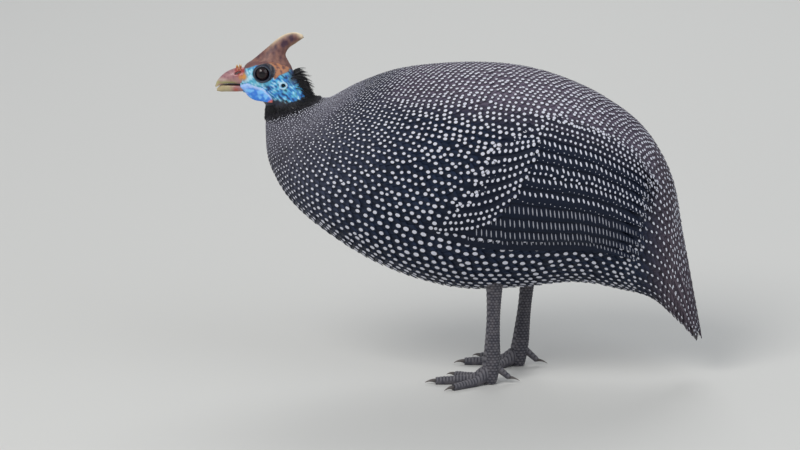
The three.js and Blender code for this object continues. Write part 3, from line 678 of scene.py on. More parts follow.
@dataclass
class Plumage:
    """Makes vane meshes and their spots from fields of feathers.

    Attributes:
        rows: The shares of a vane's length at which its points lie.
        columns: The shares of its half width.
        thickness: Its thickness in millimetres.
        patch: The size of each feather's patch on the bake map.
    """

    rows: tuple[float, ...] = (0.0, 0.35, 0.7, 0.88, 1.0)
    columns: tuple[float, ...] = (-1.0, 0.0, 1.0)
    thickness: float = 0.35
    patch: float = 0.003

    def patches(self, vanes: Vanes, index: Array, c: Array, s: Array) -> Array:
        """Places on the bake map: a small patch for each feather at its root's place."""
        u = 0.03 + 0.94 * (vanes.phi[index] + math.pi) / (2 * math.pi)
        v = 0.03 + 0.94 * np.clip(vanes.t[index] / BODY.last, 0, 1)
        return np.stack([u + c * self.patch / 2, v + (s - 0.5) * self.patch], axis=-1)

    def grow(self, soup: Soup, vanes: Vanes, inner: Array, outer: Array) -> None:
        """Adds the vanes as thin closed sheets.

        Args:
            soup: Where they go.
            vanes: The feathers.
            inner: Each one's colour along its shaft.
            outer: Each one's colour at its edges and tip.
        """
        count = len(vanes.t)
        index, i, j = np.meshgrid(
            np.arange(count), np.arange(len(self.rows)), np.arange(len(self.columns)), indexing="ij"
        )
        s, c = np.array(self.rows)[i], np.array(self.columns)[j]
        t, phi, height = vanes.at(index, s, c)
        top = BODY.above(t, phi, height)
        under = BODY.above(t, phi, height - self.thickness)
        rim = np.maximum(np.abs(c), step(0.6, 1.0, s))
        tint = blend(inner[index], outer[index], rim**1.5)
        local = np.stack([c, s], axis=-1)
        patch = self.patches(vanes, index, c, s)
        points = np.concatenate([top, under], axis=1)
        size = len(self.rows) * len(self.columns)
        grid = ring_grid(len(self.rows), len(self.columns))
        cell = np.concatenate([grid, grid[:, ::-1] + size, rim_grid(len(self.rows), len(self.columns))])
        faces = (np.arange(count)[:, None, None] * 2 * size + cell[None]).reshape(-1, 4)
        tint, patch, local = (np.concatenate([a, a], axis=1) for a in (tint, patch, local))
        soup.add(points, [(faces, 0)], tint, patch, local)

    def spots(
        self,
        soup: Soup,
        vanes: Vanes,
        index: Array,
        s: Array,
        c: Array,
        long: Array,
        wide: Array,
        slant: float = 0.0,
        ring: float = 0.0,
        sides: int = 8,
        lift: float = 0.22,
    ) -> None:
        """Adds spots that lie on the vanes' faces.

        Args:
            soup: Where they go, with white as its first and dark as its second finish.
            vanes: The feathers.
            index: The feather of each spot.
            s: The share of its length at which each spot lies.
            c: The share of its half width.
            long: Half lengths along the feather, in millimetres.
            wide: Half widths across it.
            slant: How far a spot leans, as stations of length for its width.
            ring: The width of the dark ring round each spot.
            sides: The corners of a spot.
            lift: Its height above the vane.
        """
        t0, phi0, _ = vanes.at(index, s, c)
        per_t, per_phi = BODY.reach(t0, phi0)
        flip = np.sign(phi0)
        angle = np.linspace(0, 2 * math.pi, sides, endpoint=False)
        shells = [0.0, 1.0] + ([1.0 + ring] if ring else [])
        rings = []
        for shell in shells:
            spin = angle if shell else angle[:1]
            grow_long = (long + (shell - 1) if shell > 1 else long * shell)[:, None]
            grow_wide = (wide + (shell - 1) if shell > 1 else wide * shell)[:, None]
            dt = np.cos(spin)[None] * grow_long + slant * np.sin(spin)[None] * grow_wide
            dw = np.sin(spin)[None] * grow_wide
            s_at = s[:, None] + dt / (per_t * vanes.length[index])[:, None]
            c_at = c[:, None] + flip[:, None] * dw / (per_phi * vanes.half[index])[:, None]
            _, _, height = vanes.at(index[:, None], np.clip(s_at, 0, 1), np.clip(c_at, -1.2, 1.2))
            t = t0[:, None] + dt / per_t[:, None]
            phi = phi0[:, None] + flip[:, None] * dw / per_phi[:, None]
            sink = lift if shell <= 1 else lift - 0.12
            rings.append(BODY.above(t, phi, height + sink))
        points = np.concatenate(rings, axis=1)
        count, size = points.shape[:2]
        j = np.arange(sides)
        k = (j + 1) % sides
        fan = np.stack([np.zeros(sides, int), 1 + k, 1 + j], axis=-1)
        base = np.arange(count)[:, None, None] * size
        turned = flip[:, None, None] < 0
        fans = np.where(turned, fan[None, :, ::-1], fan[None])
        faces = [((base + fans).reshape(-1, 3), 0)]
        if ring:
            band = np.stack([1 + j, 1 + k, 1 + sides + k, 1 + sides + j], axis=-1)
            bands = np.where(turned, band[None, :, ::-1], band[None])
            faces.append(((base + bands).reshape(-1, 4), 1))
        many = np.broadcast_to(index[:, None], (count, size))
        patch = self.patches(vanes, many, np.zeros((count, size)), np.zeros((count, size)))
        soup.add(points, faces, np.array([0.7, 0.7, 0.75]), patch, patch)


def ring_grid(rows: int, columns: int) -> Array:
    """Quads of a grid of points whose columns run across and whose rows run along."""
    i, j = np.meshgrid(np.arange(rows - 1), np.arange(columns - 1), indexing="ij")
    a = i * columns + j
    return np.stack([a, a + columns, a + columns + 1, a + 1], axis=-1).reshape(-1, 4)


def rim_grid(rows: int, columns: int) -> Array:
    """Quads of the wall between two grids, the second of which follows the first."""
    size = rows * columns
    front = np.arange(columns)
    border = np.concatenate(
        [
            front,
            np.arange(1, rows) * columns + columns - 1,
            (rows - 1) * columns + front[-2::-1],
            np.arange(rows - 2, 0, -1) * columns,
        ]
    )
    nxt = np.roll(border, -1)
    return np.stack([border, nxt, nxt + size, border + size], axis=-1)


# Plumage colours and zones


class Ground(Enum):
    """Ground colours of the plumage."""

    THROAT = (0.008, 0.008, 0.012)
    NECK = (0.032, 0.031, 0.042)
    NECK_EDGE = (0.150, 0.145, 0.185)
    BREAST = (0.013, 0.017, 0.032)
    BREAST_EDGE = (0.065, 0.075, 0.122)
    BACK = (0.055, 0.044, 0.070)
    BACK_EDGE = (0.190, 0.155, 0.215)
    FLANK = (0.0035, 0.0065, 0.018)
    FLANK_EDGE = (0.014, 0.025, 0.058)
    RUMP = (0.028, 0.022, 0.034)
    RUMP_EDGE = (0.125, 0.100, 0.130)


def ground(t: Array, phi: Array) -> tuple[Array, Array]:
    """The colour along the shaft and at the edge of feathers, by where they grow."""
    degrees = np.abs(np.degrees(phi))
    top = step(62, 34, degrees) * step(2.2, 3.4, t)
    rear = step(8.7, 10.2, t + (90 - degrees) * 0.006)
    neck = step(3.0, 1.2, t)
    inner = blend(Ground.FLANK.value, Ground.BREAST.value, step(4.4, 2.4, t))
    outer = blend(Ground.FLANK_EDGE.value, Ground.BREAST_EDGE.value, step(4.4, 2.4, t))
    inner, outer = blend(inner, Ground.BACK.value, top), blend(outer, Ground.BACK_EDGE.value, top)
    inner, outer = blend(inner, Ground.RUMP.value, rear), blend(outer, Ground.RUMP_EDGE.value, rear)
    inner, outer = blend(inner, Ground.NECK.value, neck), blend(outer, Ground.NECK_EDGE.value, neck)
    throat = step(0.5, 0.2, t)
    return blend(inner, Ground.THROAT.value, throat), blend(outer, Ground.THROAT.value, throat)


class Coat:
    """The small feathers of neck, body, wing shoulders and rump, with their spots.

    Attributes:
        COLUMNS: How many columns of feathers run from head to tail.
        THINNED: The stations where every second column ends, and then every second of the rest.
        NECK_END: The station where the neck's feathers end.
        RUMP_START: The station where the rump's feathers begin.
        RINGED: The half width in millimetres from which a spot has a dark ring.
    """

    COLUMNS = 92
    THINNED = (9.0, 10.3)
    NECK_END = 2.6
    RUMP_START = 8.8
    RINGED = 0.6

    def __init__(self) -> None:
        """Lays out the feathers in columns from the throat to the tail, fewer under the belly."""
        self.random = np.random.default_rng(7)
        self.plumage = Plumage()
        around = np.linspace(-math.pi, math.pi, 721)
        crowd = 1 - 0.42 * step(math.radians(85), math.radians(125), np.abs(around))
        total = np.concatenate([[0], np.cumsum((crowd[1:] + crowd[:-1]) / 2)])
        share = (np.arange(self.COLUMNS) + 0.5) / self.COLUMNS * total[-1]
        columns = np.interp(share, total, around)
        gaps = total[-1] / self.COLUMNS * (around[1] - around[0]) / np.interp(share, total, crowd)
        roots_t, roots_phi, roots_gap = [], [], []
        t = np.linspace(0.02, 11.6, 1500)
        for column, (phi, gap) in enumerate(zip(columns, gaps)):
            along, _ = BODY.reach(t, np.full_like(t, phi))
            travelled = np.concatenate([[0], np.cumsum(along[:-1] * np.diff(t) / self.pitch(t[:-1], phi))])
            wanted = np.arange(0.5 * (column % 2), travelled[-1], 1.0)
            at = np.interp(wanted, travelled, t)
            if column % 2:
                at = at[at < self.THINNED[0]]
            elif column % 4 == 2:
                at = at[at < self.THINNED[1]]
            roots_t.append(at)
            roots_phi.append(np.full_like(at, phi))
            # The feathers that stay grow wider a little before their neighbours end
            widened = (1 + (at > self.THINNED[0] - 0.4)) * (1 + (at > self.THINNED[1] - 0.4))
            roots_gap.append(gap * widened)
        self.t = np.concatenate(roots_t)
        self.phi = np.concatenate(roots_phi)
        self.gap = np.concatenate(roots_gap)
        per_t, per_phi = BODY.reach(self.t, self.phi)
        low_on_body = step(2, 5, self.t) * step(60, 110, np.abs(np.degrees(self.phi)))
        stray = (0.12 + 0.28 * low_on_body) * self.random.normal(0, 1, (2, len(self.t)))
        self.t = np.clip(self.t + stray[0] / per_t, 0.01, 12.7)
        self.phi = self.phi + 0.8 * stray[1] / per_phi
        self.phi = np.where(np.abs(self.phi) < 1e-4, 1e-4, self.phi)

    @staticmethod
    def pitch(t: Array, phi: float | Array) -> Array:
        """Millimetres between one feather and the next behind it."""
        degrees = np.abs(np.degrees(phi)) + 0 * t
        body = 5.3 + 0.9 * step(40, 80, degrees) + 2.2 * step(85, 125, degrees)
        fine = 2.0 + (body - 2.0) * step(0.7, 4.8, t)
        return fine + (6.2 - body) * step(8.2, 9.6, t)

    def vanes(self, keep: Array) -> Vanes:
        """The chosen feathers, from a mask over all of them."""
        t, phi = self.t[keep], self.phi[keep]
        pitch = self.pitch(t, phi)
        per_t, per_phi = BODY.reach(t, phi)
        length = np.clip(pitch * 2.7, 7, 26)
        depth = np.clip(pitch * 0.55, 1.2, 4.2)
        vary = self.random.uniform(-0.12, 0.12, len(t)) * step(0.2, 2.5, t)
        return Vanes(
            t=t,
            phi=phi,
            length=np.minimum(length / per_t, np.maximum(12.93 - t, 0.05)),
            half=np.maximum(per_phi * self.gap[keep] * 0.70, 1.4) / per_phi,
            turn=self.random.normal(0, 0.015, len(t)),
            root=-depth,
            tip=-0.2 + vary,
            camber=0.3,
            blunt=0.5,
        )

    def under_wing(self) -> Array:
        """Which feathers would lie under the large feathers of the wings."""
        degrees = np.abs(np.degrees(self.phi))
        low, high = WING.span(self.t)
        top, bottom = np.maximum(low, 47), np.minimum(high, 109)
        coverts = WingFeathers.covert_end((degrees - 62) / 38) - 1.05
        front = np.where(degrees > 62, coverts, 6.4)
        return (self.t > front) & (self.t < 8.9) & (degrees > top) & (degrees < bottom)

    def grow(self) -> None:
        """Builds the feathers in a few pieces, and their spots."""
        degrees = np.abs(np.degrees(self.phi))
        body = (self.t >= self.NECK_END) & (self.t < self.RUMP_START) & ~self.under_wing()
        zones = {
            "coat_neck": self.t < self.NECK_END,
            "coat_back": body & (degrees < 75),
            "coat_flanks": body & (degrees >= 75),
            "coat_rump": self.t >= self.RUMP_START,
        }
        for name, keep in zones.items():
            vanes = self.vanes(keep)
            inner, outer = ground(vanes.t, vanes.phi)
            shade = self.random.uniform(0.8, 1.2, (len(vanes.t), 1))
            soup = Soup()
            self.plumage.grow(soup, vanes, inner * shade, outer * shade)
            soup.build(name, [VANE_FINISH], mapped=True)
            spots = Soup()
            self.spot(spots, vanes)
            spots.build(name.replace("coat", "spots"), [SPOT_FINISH, RING_FINISH], mapped=True)

    def spot(self, soup: Soup, vanes: Vanes) -> None:
        """Puts one spot near each tip, from specks on the neck to broad ovals on the belly."""
        tip_t = vanes.t + vanes.length * 0.84
        size = 0.255 * self.pitch(vanes.t, vanes.phi)
        size = size * (0.80 + 0.20 * step(1.0, 3.5, tip_t)) * (1 - 0.22 * step(6.8, 9.0, tip_t))
        size = size * self.random.uniform(0.85, 1.12, len(size))
        shown = np.flatnonzero(tip_t > 0.45)
        ringed = shown[size[shown] > self.RINGED]
        specks = shown[size[shown] <= self.RINGED]
        draw = self.random.uniform
        self.plumage.spots(
            soup,
            vanes,
            ringed,
            draw(0.82, 0.86, len(ringed)),
            draw(-0.1, 0.1, len(ringed)),
            size[ringed] * draw(0.95, 1.25, len(ringed)),
            size[ringed] * draw(0.85, 1.0, len(ringed)),
            ring=0.55,
        )
        self.plumage.spots(
            soup, vanes, specks, draw(0.75, 0.9, len(specks)), draw(-0.3, 0.3, len(specks)),
            size[specks] * 1.2, size[specks], sides=6,
        )


@dataclass(frozen=True)
class Row:
    """A row of marks along a secondary.

    Attributes:
        spacing: The distance from mark to mark in millimetres.
        first: The share of the vane's length at which they begin.
    """

    spacing: float
    first: float

    def places(self, reach: float) -> Array:
        """The shares of its length where the marks of a vane of this many millimetres are."""
        many = int(reach / self.spacing)
        s = (np.arange(many) + 0.5) / many
        return s[s > self.first]


@dataclass(frozen=True)
class Bars(Row):
    """The pale bars across a secondary.

    Attributes:
        middle: Where their middle is across the vane, from -1 to 1.
        half_width: Half their width in millimetres.
        half_length: Half their length from edge to edge of the vane.
        slant: How far they lean.
    """

    middle: float
    half_width: float
    half_length: float
    slant: float


WIDE_BARS = Bars(spacing=4.9, first=0.08, middle=0.22, half_width=0.82, half_length=2.05, slant=0.42)
THIN_BARS = Bars(spacing=3.9, first=0.2, middle=0.3, half_width=0.45, half_length=3.7, slant=0.3)
LAST_BARS = Bars(spacing=3.9, first=0.2, middle=0.0, half_width=0.45, half_length=2.3, slant=0.3)
DOTS = Row(spacing=4.9, first=0.2)


@dataclass
class WingFeathers:
    """The large feathers of one folded wing.

    Attributes:
        side: -1 for the left wing and 1 for the right one.
        count: How many secondaries show.
        dotted: How many of the first secondaries carry dots instead of bars.
        bold: Which secondary has larger dots on its edge.
        thin: How many of the last secondaries carry thin grey bars.
        coverts: How many greater coverts lie over their front.
        angles: The angles of the first and the last secondary, in degrees.
        MEASURED: The station at which their lengths are measured.
    """

    MEASURED = 7.5

    side: int
    count: int = 11
    dotted: int = 2
    bold: int = 4
    thin: int = 4
    coverts: int = 9
    angles: tuple[float, float] = (47.0, 111.0)

    def __post_init__(self) -> None:
        """Prepares the source of small differences, the marks and the colour of the vanes."""
        self.name = "left" if self.side < 0 else "right"
        self.random = np.random.default_rng(20 + self.side)
        self.marks, self.thin_marks = Soup(), Soup()
        self.dark = np.array(Ground.FLANK.value) * 1.2

    def grow(self) -> None:
        """Builds the wing's vanes and their bars and dots."""
        plumage = Plumage(
            rows=tuple(np.linspace(0, 0.85, 14)) + (0.93, 0.98, 1.0),
            columns=(-1.0, -0.4, 0.2, 0.7, 1.0),
            thickness=0.5,
        )
        u = np.linspace(0, 1, self.count)
        phi = self.side * np.radians(self.angles[0] + (self.angles[1] - self.angles[0]) * u)
        pitch = math.radians((self.angles[1] - self.angles[0]) / (self.count - 1))
        start = 5.9 - 0.9 * u
        end = 9.62 - 0.32 * u
        one = np.ones(self.count)
        vanes = Vanes(
            t=start,
            phi=phi,
            length=end - start,
            half=one * pitch * 0.80,
            turn=self.side * (0.10 - 0.05 * u),
            root=-1.4 * one,
            tip=0.6 * one,
            camber=0.15,
            tuck=1.7,
            blunt=0.6,
        )
        inner, outer = ground(vanes.t + vanes.length / 2, vanes.phi)
        soup = Soup()
        plumage.grow(soup, vanes, inner * 0.3 + self.dark * 0.7, outer * 0.4 + self.dark * 0.6)
        soup.build(f"secondaries_{self.name}", [VANE_FINISH], (f"wing_{self.name}",), mapped=True)
        self.grow_coverts()
        for k in range(self.count):
            if k < self.dotted:
                self.add_dots(plumage, vanes, k)
            elif k < self.count - self.thin:
                self.add_bars(plumage, vanes, k, WIDE_BARS)
            else:
                self.add_bars(plumage, vanes, k, THIN_BARS if k < self.count - 1 else LAST_BARS)
        self.marks.build(f"wing_bars_{self.name}", [SPOT_FINISH, RING_FINISH], mapped=True)
        self.thin_marks.build(f"wing_thin_bars_{self.name}", [THIN_FINISH], mapped=True)

    def add_dots(self, plumage: Plumage, vanes: Vanes, k: int) -> None:
        """Adds rows of dots to secondary k, one row fewer on each that follows.

        Args:
            plumage: The form of the vanes.
            vanes: The secondaries.
            k: Which one.
        """
        s = DOTS.places(vanes.millimetres(k, self.MEASURED))
        index = np.full(len(s), k)
        jitter = self.random.normal(0, 0.05, len(s))
        for row in (-0.85, -0.1, 0.65)[k:]:
            radius = 1.25 * self.random.uniform(0.8, 1.1, len(s))
            c = self.side * (row + jitter)
            plumage.spots(self.marks, vanes, index, s, c, radius, radius, ring=0.5, lift=0.3)

    def add_bars(self, plumage: Plumage, vanes: Vanes, k: int, bars: Bars) -> None:
        """Adds the bars of secondary k, and a row of dots on its edge if they are wide ones.

        Args:
            plumage: The form of the vanes.
            vanes: The secondaries.
            k: Which one.
            bars: The form of the bars.
        """
        s = bars.places(vanes.millimetres(k, self.MEASURED))
        index = np.full(len(s), k)
        fade = step(1.05, 0.55, s)
        jitter = self.random.normal(0, 0.05, len(s))
        plumage.spots(
            self.marks if bars is WIDE_BARS else self.thin_marks,
            vanes,
            index,
            s,
            self.side * (bars.middle + jitter),
            bars.half_width + 0.1 * fade,
            bars.half_length * (0.5 + 0.5 * fade),
            slant=bars.slant,
            sides=8,
            lift=0.3,
        )
        if bars is WIDE_BARS:
            dot = 1.2 if k == self.bold else 0.42
            plumage.spots(
                self.marks,
                vanes,
                index,
                np.clip(s + 0.01, 0, 0.99),
                self.side * (0.82 + 1.5 * jitter),
                dot * self.random.uniform(0.7, 1.1, len(s)),
                dot + 0 * s,
                sides=7,
                lift=0.3,
            )

    @staticmethod
    def covert_end(u: Array) -> Array:
        """The station at which the covert at share u down the wing ends."""
        return 6.7 - 0.4 * np.clip(u, 0, 1.5) ** 2

    def grow_coverts(self) -> None:
        """Builds the greater coverts, each with a row of dots over a dark stripe."""
        plumage = Plumage(
            rows=tuple(np.linspace(0, 0.85, 9)) + (0.93, 0.98, 1.0),
            columns=(-1.0, -0.3, 0.4, 1.0),
            thickness=0.45,
        )
        soup = Soup()
        count = self.coverts
        u = np.linspace(0, 1, count)
        one = np.ones(count)
        end = self.covert_end(u) + self.random.normal(0, 0.02, count)
        length = 1.5 * one
        vanes = Vanes(
            t=end - length, phi=self.side * np.radians(71.0 + 41.0 * u), length=length,
            half=one * math.radians(37 / (count - 1)) * 0.9, turn=-self.side * (0.17 + 0.11 * u),
            root=-2.7 * one, tip=1.1 * one, camber=0.25, tuck=1.3, blunt=0.5,
        )
        plumage.grow(soup, vanes, np.tile(self.dark, (count, 1)), np.tile(self.dark * 1.5, (count, 1)))
        for k in range(count):
            many = int(vanes.millimetres(k, end[k] - 1) / 4.5)
            rows = ((0.45, 1.5), (-0.35, 1.4)) if k == 0 else ((0.45, 1.5),)
            for row, size in rows:
                s = (np.arange(many) + self.random.uniform(0.3, 0.7)) / many
                s = s[(s > 0.32) & (s < 0.97)]
                index = np.full(len(s), k)
                bent = row * (1 - 0.3 * step(0.8, 1.0, s))
                c = self.side * (bent + self.random.normal(0, 0.05, len(s)))
                radius = size * self.random.uniform(0.85, 1.12, len(s))
                plumage.spots(self.marks, vanes, index, s, c, radius * 0.9, radius * 1.1, ring=0.4, lift=0.3)
        soup.build(f"coverts_{self.name}", [VANE_FINISH], mapped=True)


class TailFeathers:
    """The long tail feathers, which overlap like tiles and droop.

    Attributes:
        COUNT: How many grow on each side.
    """

    COUNT = 7

    def grow(self) -> None:
        """Builds them with their rows of small ringed spots."""
        random = np.random.default_rng(31)
        plumage = Plumage(rows=tuple(np.linspace(0, 0.9, 10)) + (0.96, 1.0), columns=(-1.0, -0.3, 0.4, 1.0))
        soup, marks = Soup(), Soup()
        for side in (-1, 1):
            u = np.linspace(0, 1, self.COUNT)
            phi = side * np.radians(7 + 95 * u)
            one = np.ones(self.COUNT)
            vanes = Vanes(
                t=9.9 * one, phi=phi, length=3.0 - 0.3 * u, half=one * 0.25, turn=0 * one,
                root=-1.8 * one, tip=0.5 * one, camber=0.3, tuck=1.1, blunt=0.3,
            )
            inner, outer = ground(vanes.t + 1.5, vanes.phi)
            plumage.grow(soup, vanes, inner, outer)
            for k in range(self.COUNT):
                for row in (-0.45, 0.4):
                    s = np.arange(0.25 + 0.03 * (row > 0), 0.97, 0.06) + random.normal(0, 0.004)
                    index = np.full(len(s), k)
                    c = side * (row + random.normal(0, 0.05, len(s)))
                    radius = (1.5 - 0.55 * s) * random.uniform(0.8, 1.15, len(s))
                    plumage.spots(
                        marks, vanes, index, s, c, radius * 1.1, radius, ring=0.6, sides=7, lift=0.25
                    )
        soup.build("tail_feathers", [VANE_FINISH], mapped=True)
        marks.build("tail_spots", [SPOT_FINISH, RING_FINISH], mapped=True)


# Skin and head


class Face(Enum):
    """Colours of the bare head."""

    TURQUOISE = (0.10, 0.44, 0.62)
    PALE = (0.42, 0.72, 0.86)
    BLUE = (0.035, 0.22, 0.60)
    BRIGHT_BLUE = (0.12, 0.55, 0.82)
    # Whitish streaks that are painted highlights on the glossy cheek and neck skin.
    SKIN_HIGHLIGHT = (0.50, 0.76, 0.92)
    # Dark blue-black that is painted shade in the gaps between the skin's folds.
    FOLD_SHADE = (0.008, 0.035, 0.13)
    NAPE = (0.030, 0.032, 0.060)
    THROAT = (0.012, 0.016, 0.035)
    RED = (0.30, 0.045, 0.04)
    ORANGE = (0.62, 0.28, 0.07)
    EAR_RIM = (0.62, 0.82, 0.92)
    # Near-black inside the ear cup: painted shade in the ear opening.
    EAR = (0.01, 0.02, 0.03)
    HORN = (0.17, 0.075, 0.070)
    HORN_LIGHT = (0.50, 0.22, 0.11)
    EYE_PATCH = (0.010, 0.012, 0.026)
    LID = (0.10, 0.15, 0.22)


class Wattle(Enum):
    """Colours of the wattles."""

    BLUE = (0.035, 0.20, 0.68)
    LIGHT = (0.17, 0.48, 0.87)
    # A whitish band near the top edge: a painted highlight.
    PAINTED_HIGHLIGHT = (0.50, 0.66, 0.90)
    ROOT = (0.34, 0.52, 0.88)
    TIP = (0.50, 0.11, 0.08)


class Horn(Enum):
    """Colours of casque and bill."""

    BROWN = (0.17, 0.075, 0.065)
    TAN = (0.30, 0.145, 0.105)
    PLUM = (0.060, 0.024, 0.045)
    SPECK = (0.12, 0.05, 0.06)
    CREAM = (0.78, 0.64, 0.44)
    BACK = (0.62, 0.42, 0.25)
    PINK = (0.38, 0.19, 0.20)
    PALE = (0.50, 0.46, 0.22)
    DUSK = (0.17, 0.065, 0.11)
    # Olive along the lower edge of the upper bill: partly the horn's own colour, partly painted shade under
    # that edge.
    OLIVE = (0.30, 0.31, 0.10)
    # A pale band on the upper bill: a painted highlight.
    BILL_HIGHLIGHT = (0.62, 0.50, 0.44)
    CERE = (0.34, 0.045, 0.045)
    CORNER = (0.60, 0.26, 0.07)
    # Near-black in the nostrils: painted shade in the openings.
    NOSTRIL_SHADE = (0.03, 0.006, 0.008)
    LOWER_RED = (0.46, 0.10, 0.06)
    # Near-black along the mouth line: painted shade in the gap between the bill's halves.
    MOUTH_SHADE = (0.05, 0.008, 0.012)
    BRISTLE_RED = (0.45, 0.05, 0.04)
    BRISTLE_YELLOW = (0.72, 0.55, 0.16)


class Scale(Enum):
    """Colours of legs and claws."""

    SLATE = (0.060, 0.058, 0.074)
    DUST = (0.105, 0.098, 0.112)
    # Pale on the raised middle of each scale: a painted highlight.
    PAINTED_HIGHLIGHT = (0.19, 0.185, 0.205)
    # Near-black in the grooves between scales: painted shade.
    GROOVE_SHADE = (0.012, 0.011, 0.018)
    CLAW = (0.055, 0.048, 0.05)
    CLAW_TIP = (0.16, 0.14, 0.13)


def folds(points: Array, scale: float, seed: float) -> Array:
    """Noise from -1 to 1 at each point, for folds and blotches."""
    flat = points.reshape(-1, 3) / scale
    values = [noise.noise(Vector((p[0] + seed, p[1], p[2]))) for p in flat.tolist()]
    return np.array(values).reshape(points.shape[:-1])


def horn_edge(x: Array) -> Array:
    """The height at which the casque's base ends on the side of the head, at each x."""
    xs = np.array([-228, -222, -214, -206, -202, -200.4, -199, -196.6, -192, -187, -184, -182])
    zs = np.array([290.5, 291.3, 294.4, 295.8, 296, 293, 286, 282.6, 286.5, 287.8, 289, 295])
    return np.interp(x, xs, zs)


class Skin:
    """The one skin of head, neck and body, with lids, ear cups, wattles and folds."""

    HEAD_RINGS = 150
    BODY_RINGS = 150
    SIDES = 176

    @staticmethod
    def coat_depth(t: Array) -> Array:
        """How far the skin lies inside the solids at station t."""
        return 0.5 + 4.2 * step(0.0, 3.0, t) * step(12.9, 10.5, t)

    def grow(self) -> None:
        """Builds the skin."""
        soup = Soup()
        phi = np.linspace(-math.pi, math.pi, self.SIDES, endpoint=False) + 1e-4
        head_t, head_phi = np.meshgrid(np.linspace(0.02, 6.9, self.HEAD_RINGS), phi, indexing="ij")
        body_t, body_phi = np.meshgrid(np.linspace(0.12, 12.6, self.BODY_RINGS), phi, indexing="ij")
        head = self.shape_head(HEAD.point(head_t, head_phi))
        bulge = np.maximum(WING.rise(body_t, body_phi) - 1.5, 0)
        body = BODY.above(body_t, body_phi, bulge - self.coat_depth(body_t))
        rings = np.concatenate([head, body])
        inner, _ = ground(body_t, body_phi)
        tint = np.concatenate([self.paint_head(head, head_t), inner * 0.7])
        tube(soup, rings, tint)
        for side in (-1, 1):
            self.add_wattle(soup, side)
        soup.build(
            "skin",
            [SKIN_FINISH],
            ("head", "neck", "torso", "tail", "thigh_left", "thigh_right", "wattle_left", "wattle_right"),
        )

    def shape_head(self, points: Array) -> Array:
        """Sinks the eye sockets and ears, and raises lids, rims and folds."""
        x, y, z = points[..., 0], points[..., 1], points[..., 2]
        side = np.sign(y)
        flank = step(7.0, 11.0, np.abs(y))
        eye = np.hypot((x - EYE.x) * 0.96, z - EYE.z)
        wedge = self.wedge(x, z)
        lid = 1.5 * np.exp(-(((eye - 6.8) / 0.85) ** 2)) + 0.6 * np.exp(-(((wedge - 1.0) / 0.07) ** 2))
        socket = -6.5 * step(6.3, 5.4, eye)
        ear = np.hypot(x - EAR.x, (z - EAR.z) * 1.12)
        cup = -2.8 * step(2.3, 1.2, ear) + 0.75 * np.exp(-(((ear - 3.1) / 0.6) ** 2))
        bare = 1 - step(9.5, 7.6, eye)
        wrinkle = 0.55 * folds(points * [1.0, 1.0, 1.35], 3.2, 3.0) + 0.25 * folds(points, 1.3, 9.0)
        horn = self.horn_mask(points)
        push = flank * (lid + socket + cup)
        push = push + bare * (1 - horn) * wrinkle * 0.8 + horn * (0.7 + 0.4 * wrinkle)
        centre = np.stack([x, 0 * y, z * 0 + 277], axis=-1)
        way = points - centre
        way[..., 0] = 0
        way /= np.maximum(np.linalg.norm(way, axis=-1, keepdims=True), 1e-6)
        straight = np.stack([0 * x, side, 0 * z], axis=-1)
        near = step(12, 8, np.minimum(eye, ear + 4))[..., None] * flank[..., None]
        way = way * (1 - near) + straight * near
        return points + way * push[..., None]

    @staticmethod
    def horn_mask(points: Array) -> Array:
        """Where the casque's horny base covers the head."""
        x, z = points[..., 0], points[..., 2]
        return step(-0.5, 0.5, z - horn_edge(x)) * step(-229, -226.5, x) * step(-180.5, -182.5, x)

    def paint_head(self, points: Array, t: Array) -> Array:
        """The head's colours: turquoise face, blue cheek and neck with painted highlights and painted shade
        between folds, painted shade in the ear, horny crown, dark nape.
        """
        x, y, z = points[..., 0], points[..., 1], points[..., 2]
        eye = np.hypot((x - EYE.x) * 0.96, z - EYE.z)
        wedge = self.wedge(x, z)
        ear = np.hypot(x - EAR.x, (z - EAR.z) * 1.12)
        blotch = folds(points, 5.0, 1.0)
        strands = np.stack([(x - z) * 0.38, y, (x + z) * 0.95], axis=-1)
        fine = folds(strands, 2.0, 5.0)
        face = step(17, 8, np.hypot(x + 215, (z - 283) * 1.2))
        turquoise = step(-0.15, 0.35, blotch + face * 0.8 - 0.12)
        tint = blend(Face.BLUE.value, Face.TURQUOISE.value, turquoise)
        pale = step(0.05, 0.45, blotch * 0.5 + fine * 0.5 + 0.25 * face)
        tint = blend(tint, Face.PALE.value, pale * (0.35 + 0.65 * face))
        tint = blend(tint, Face.BRIGHT_BLUE.value, step(-0.05, 0.25, fine) * (1 - face) * 0.85)
        # Whitish streaks where the streak noise is highest: painted highlights.
        tint = blend(tint, Face.SKIN_HIGHLIGHT.value, step(0.32, 0.50, fine) * (1 - 0.5 * face) * 0.8)
        # Dark blue-black where the streak noise is lowest: painted shade in the gaps between folds.
        tint = blend(tint, Face.FOLD_SHADE.value, step(-0.20, -0.45, fine) * (0.9 - 0.75 * face))
        nape = step(-187, -179, x + fine * 3) * step(274, 282, z)
        tint = blend(tint, Face.NAPE.value, nape)
        under = step(267, 262, z + fine * 2.5 + 0.3 * np.maximum(x + 194, 0)) * step(-222, -214, x)
        tint = blend(tint, Face.THROAT.value, np.maximum(under, step(6.55, 6.8, t)))
        red = step(-222.5, -225.5, x) * step(279, 284, z)
        tint = blend(tint, Face.RED.value, red)
        orange = np.exp(-(((x + 225) / 2.6) ** 2 + ((z - 284) / 2.8) ** 2))
        tint = blend(tint, Face.ORANGE.value, np.clip(orange * 1.4, 0, 1))
        rim = np.exp(-(((ear - 3.1) / 0.7) ** 2))
        tint = blend(tint, Face.EAR_RIM.value, rim * 0.9)
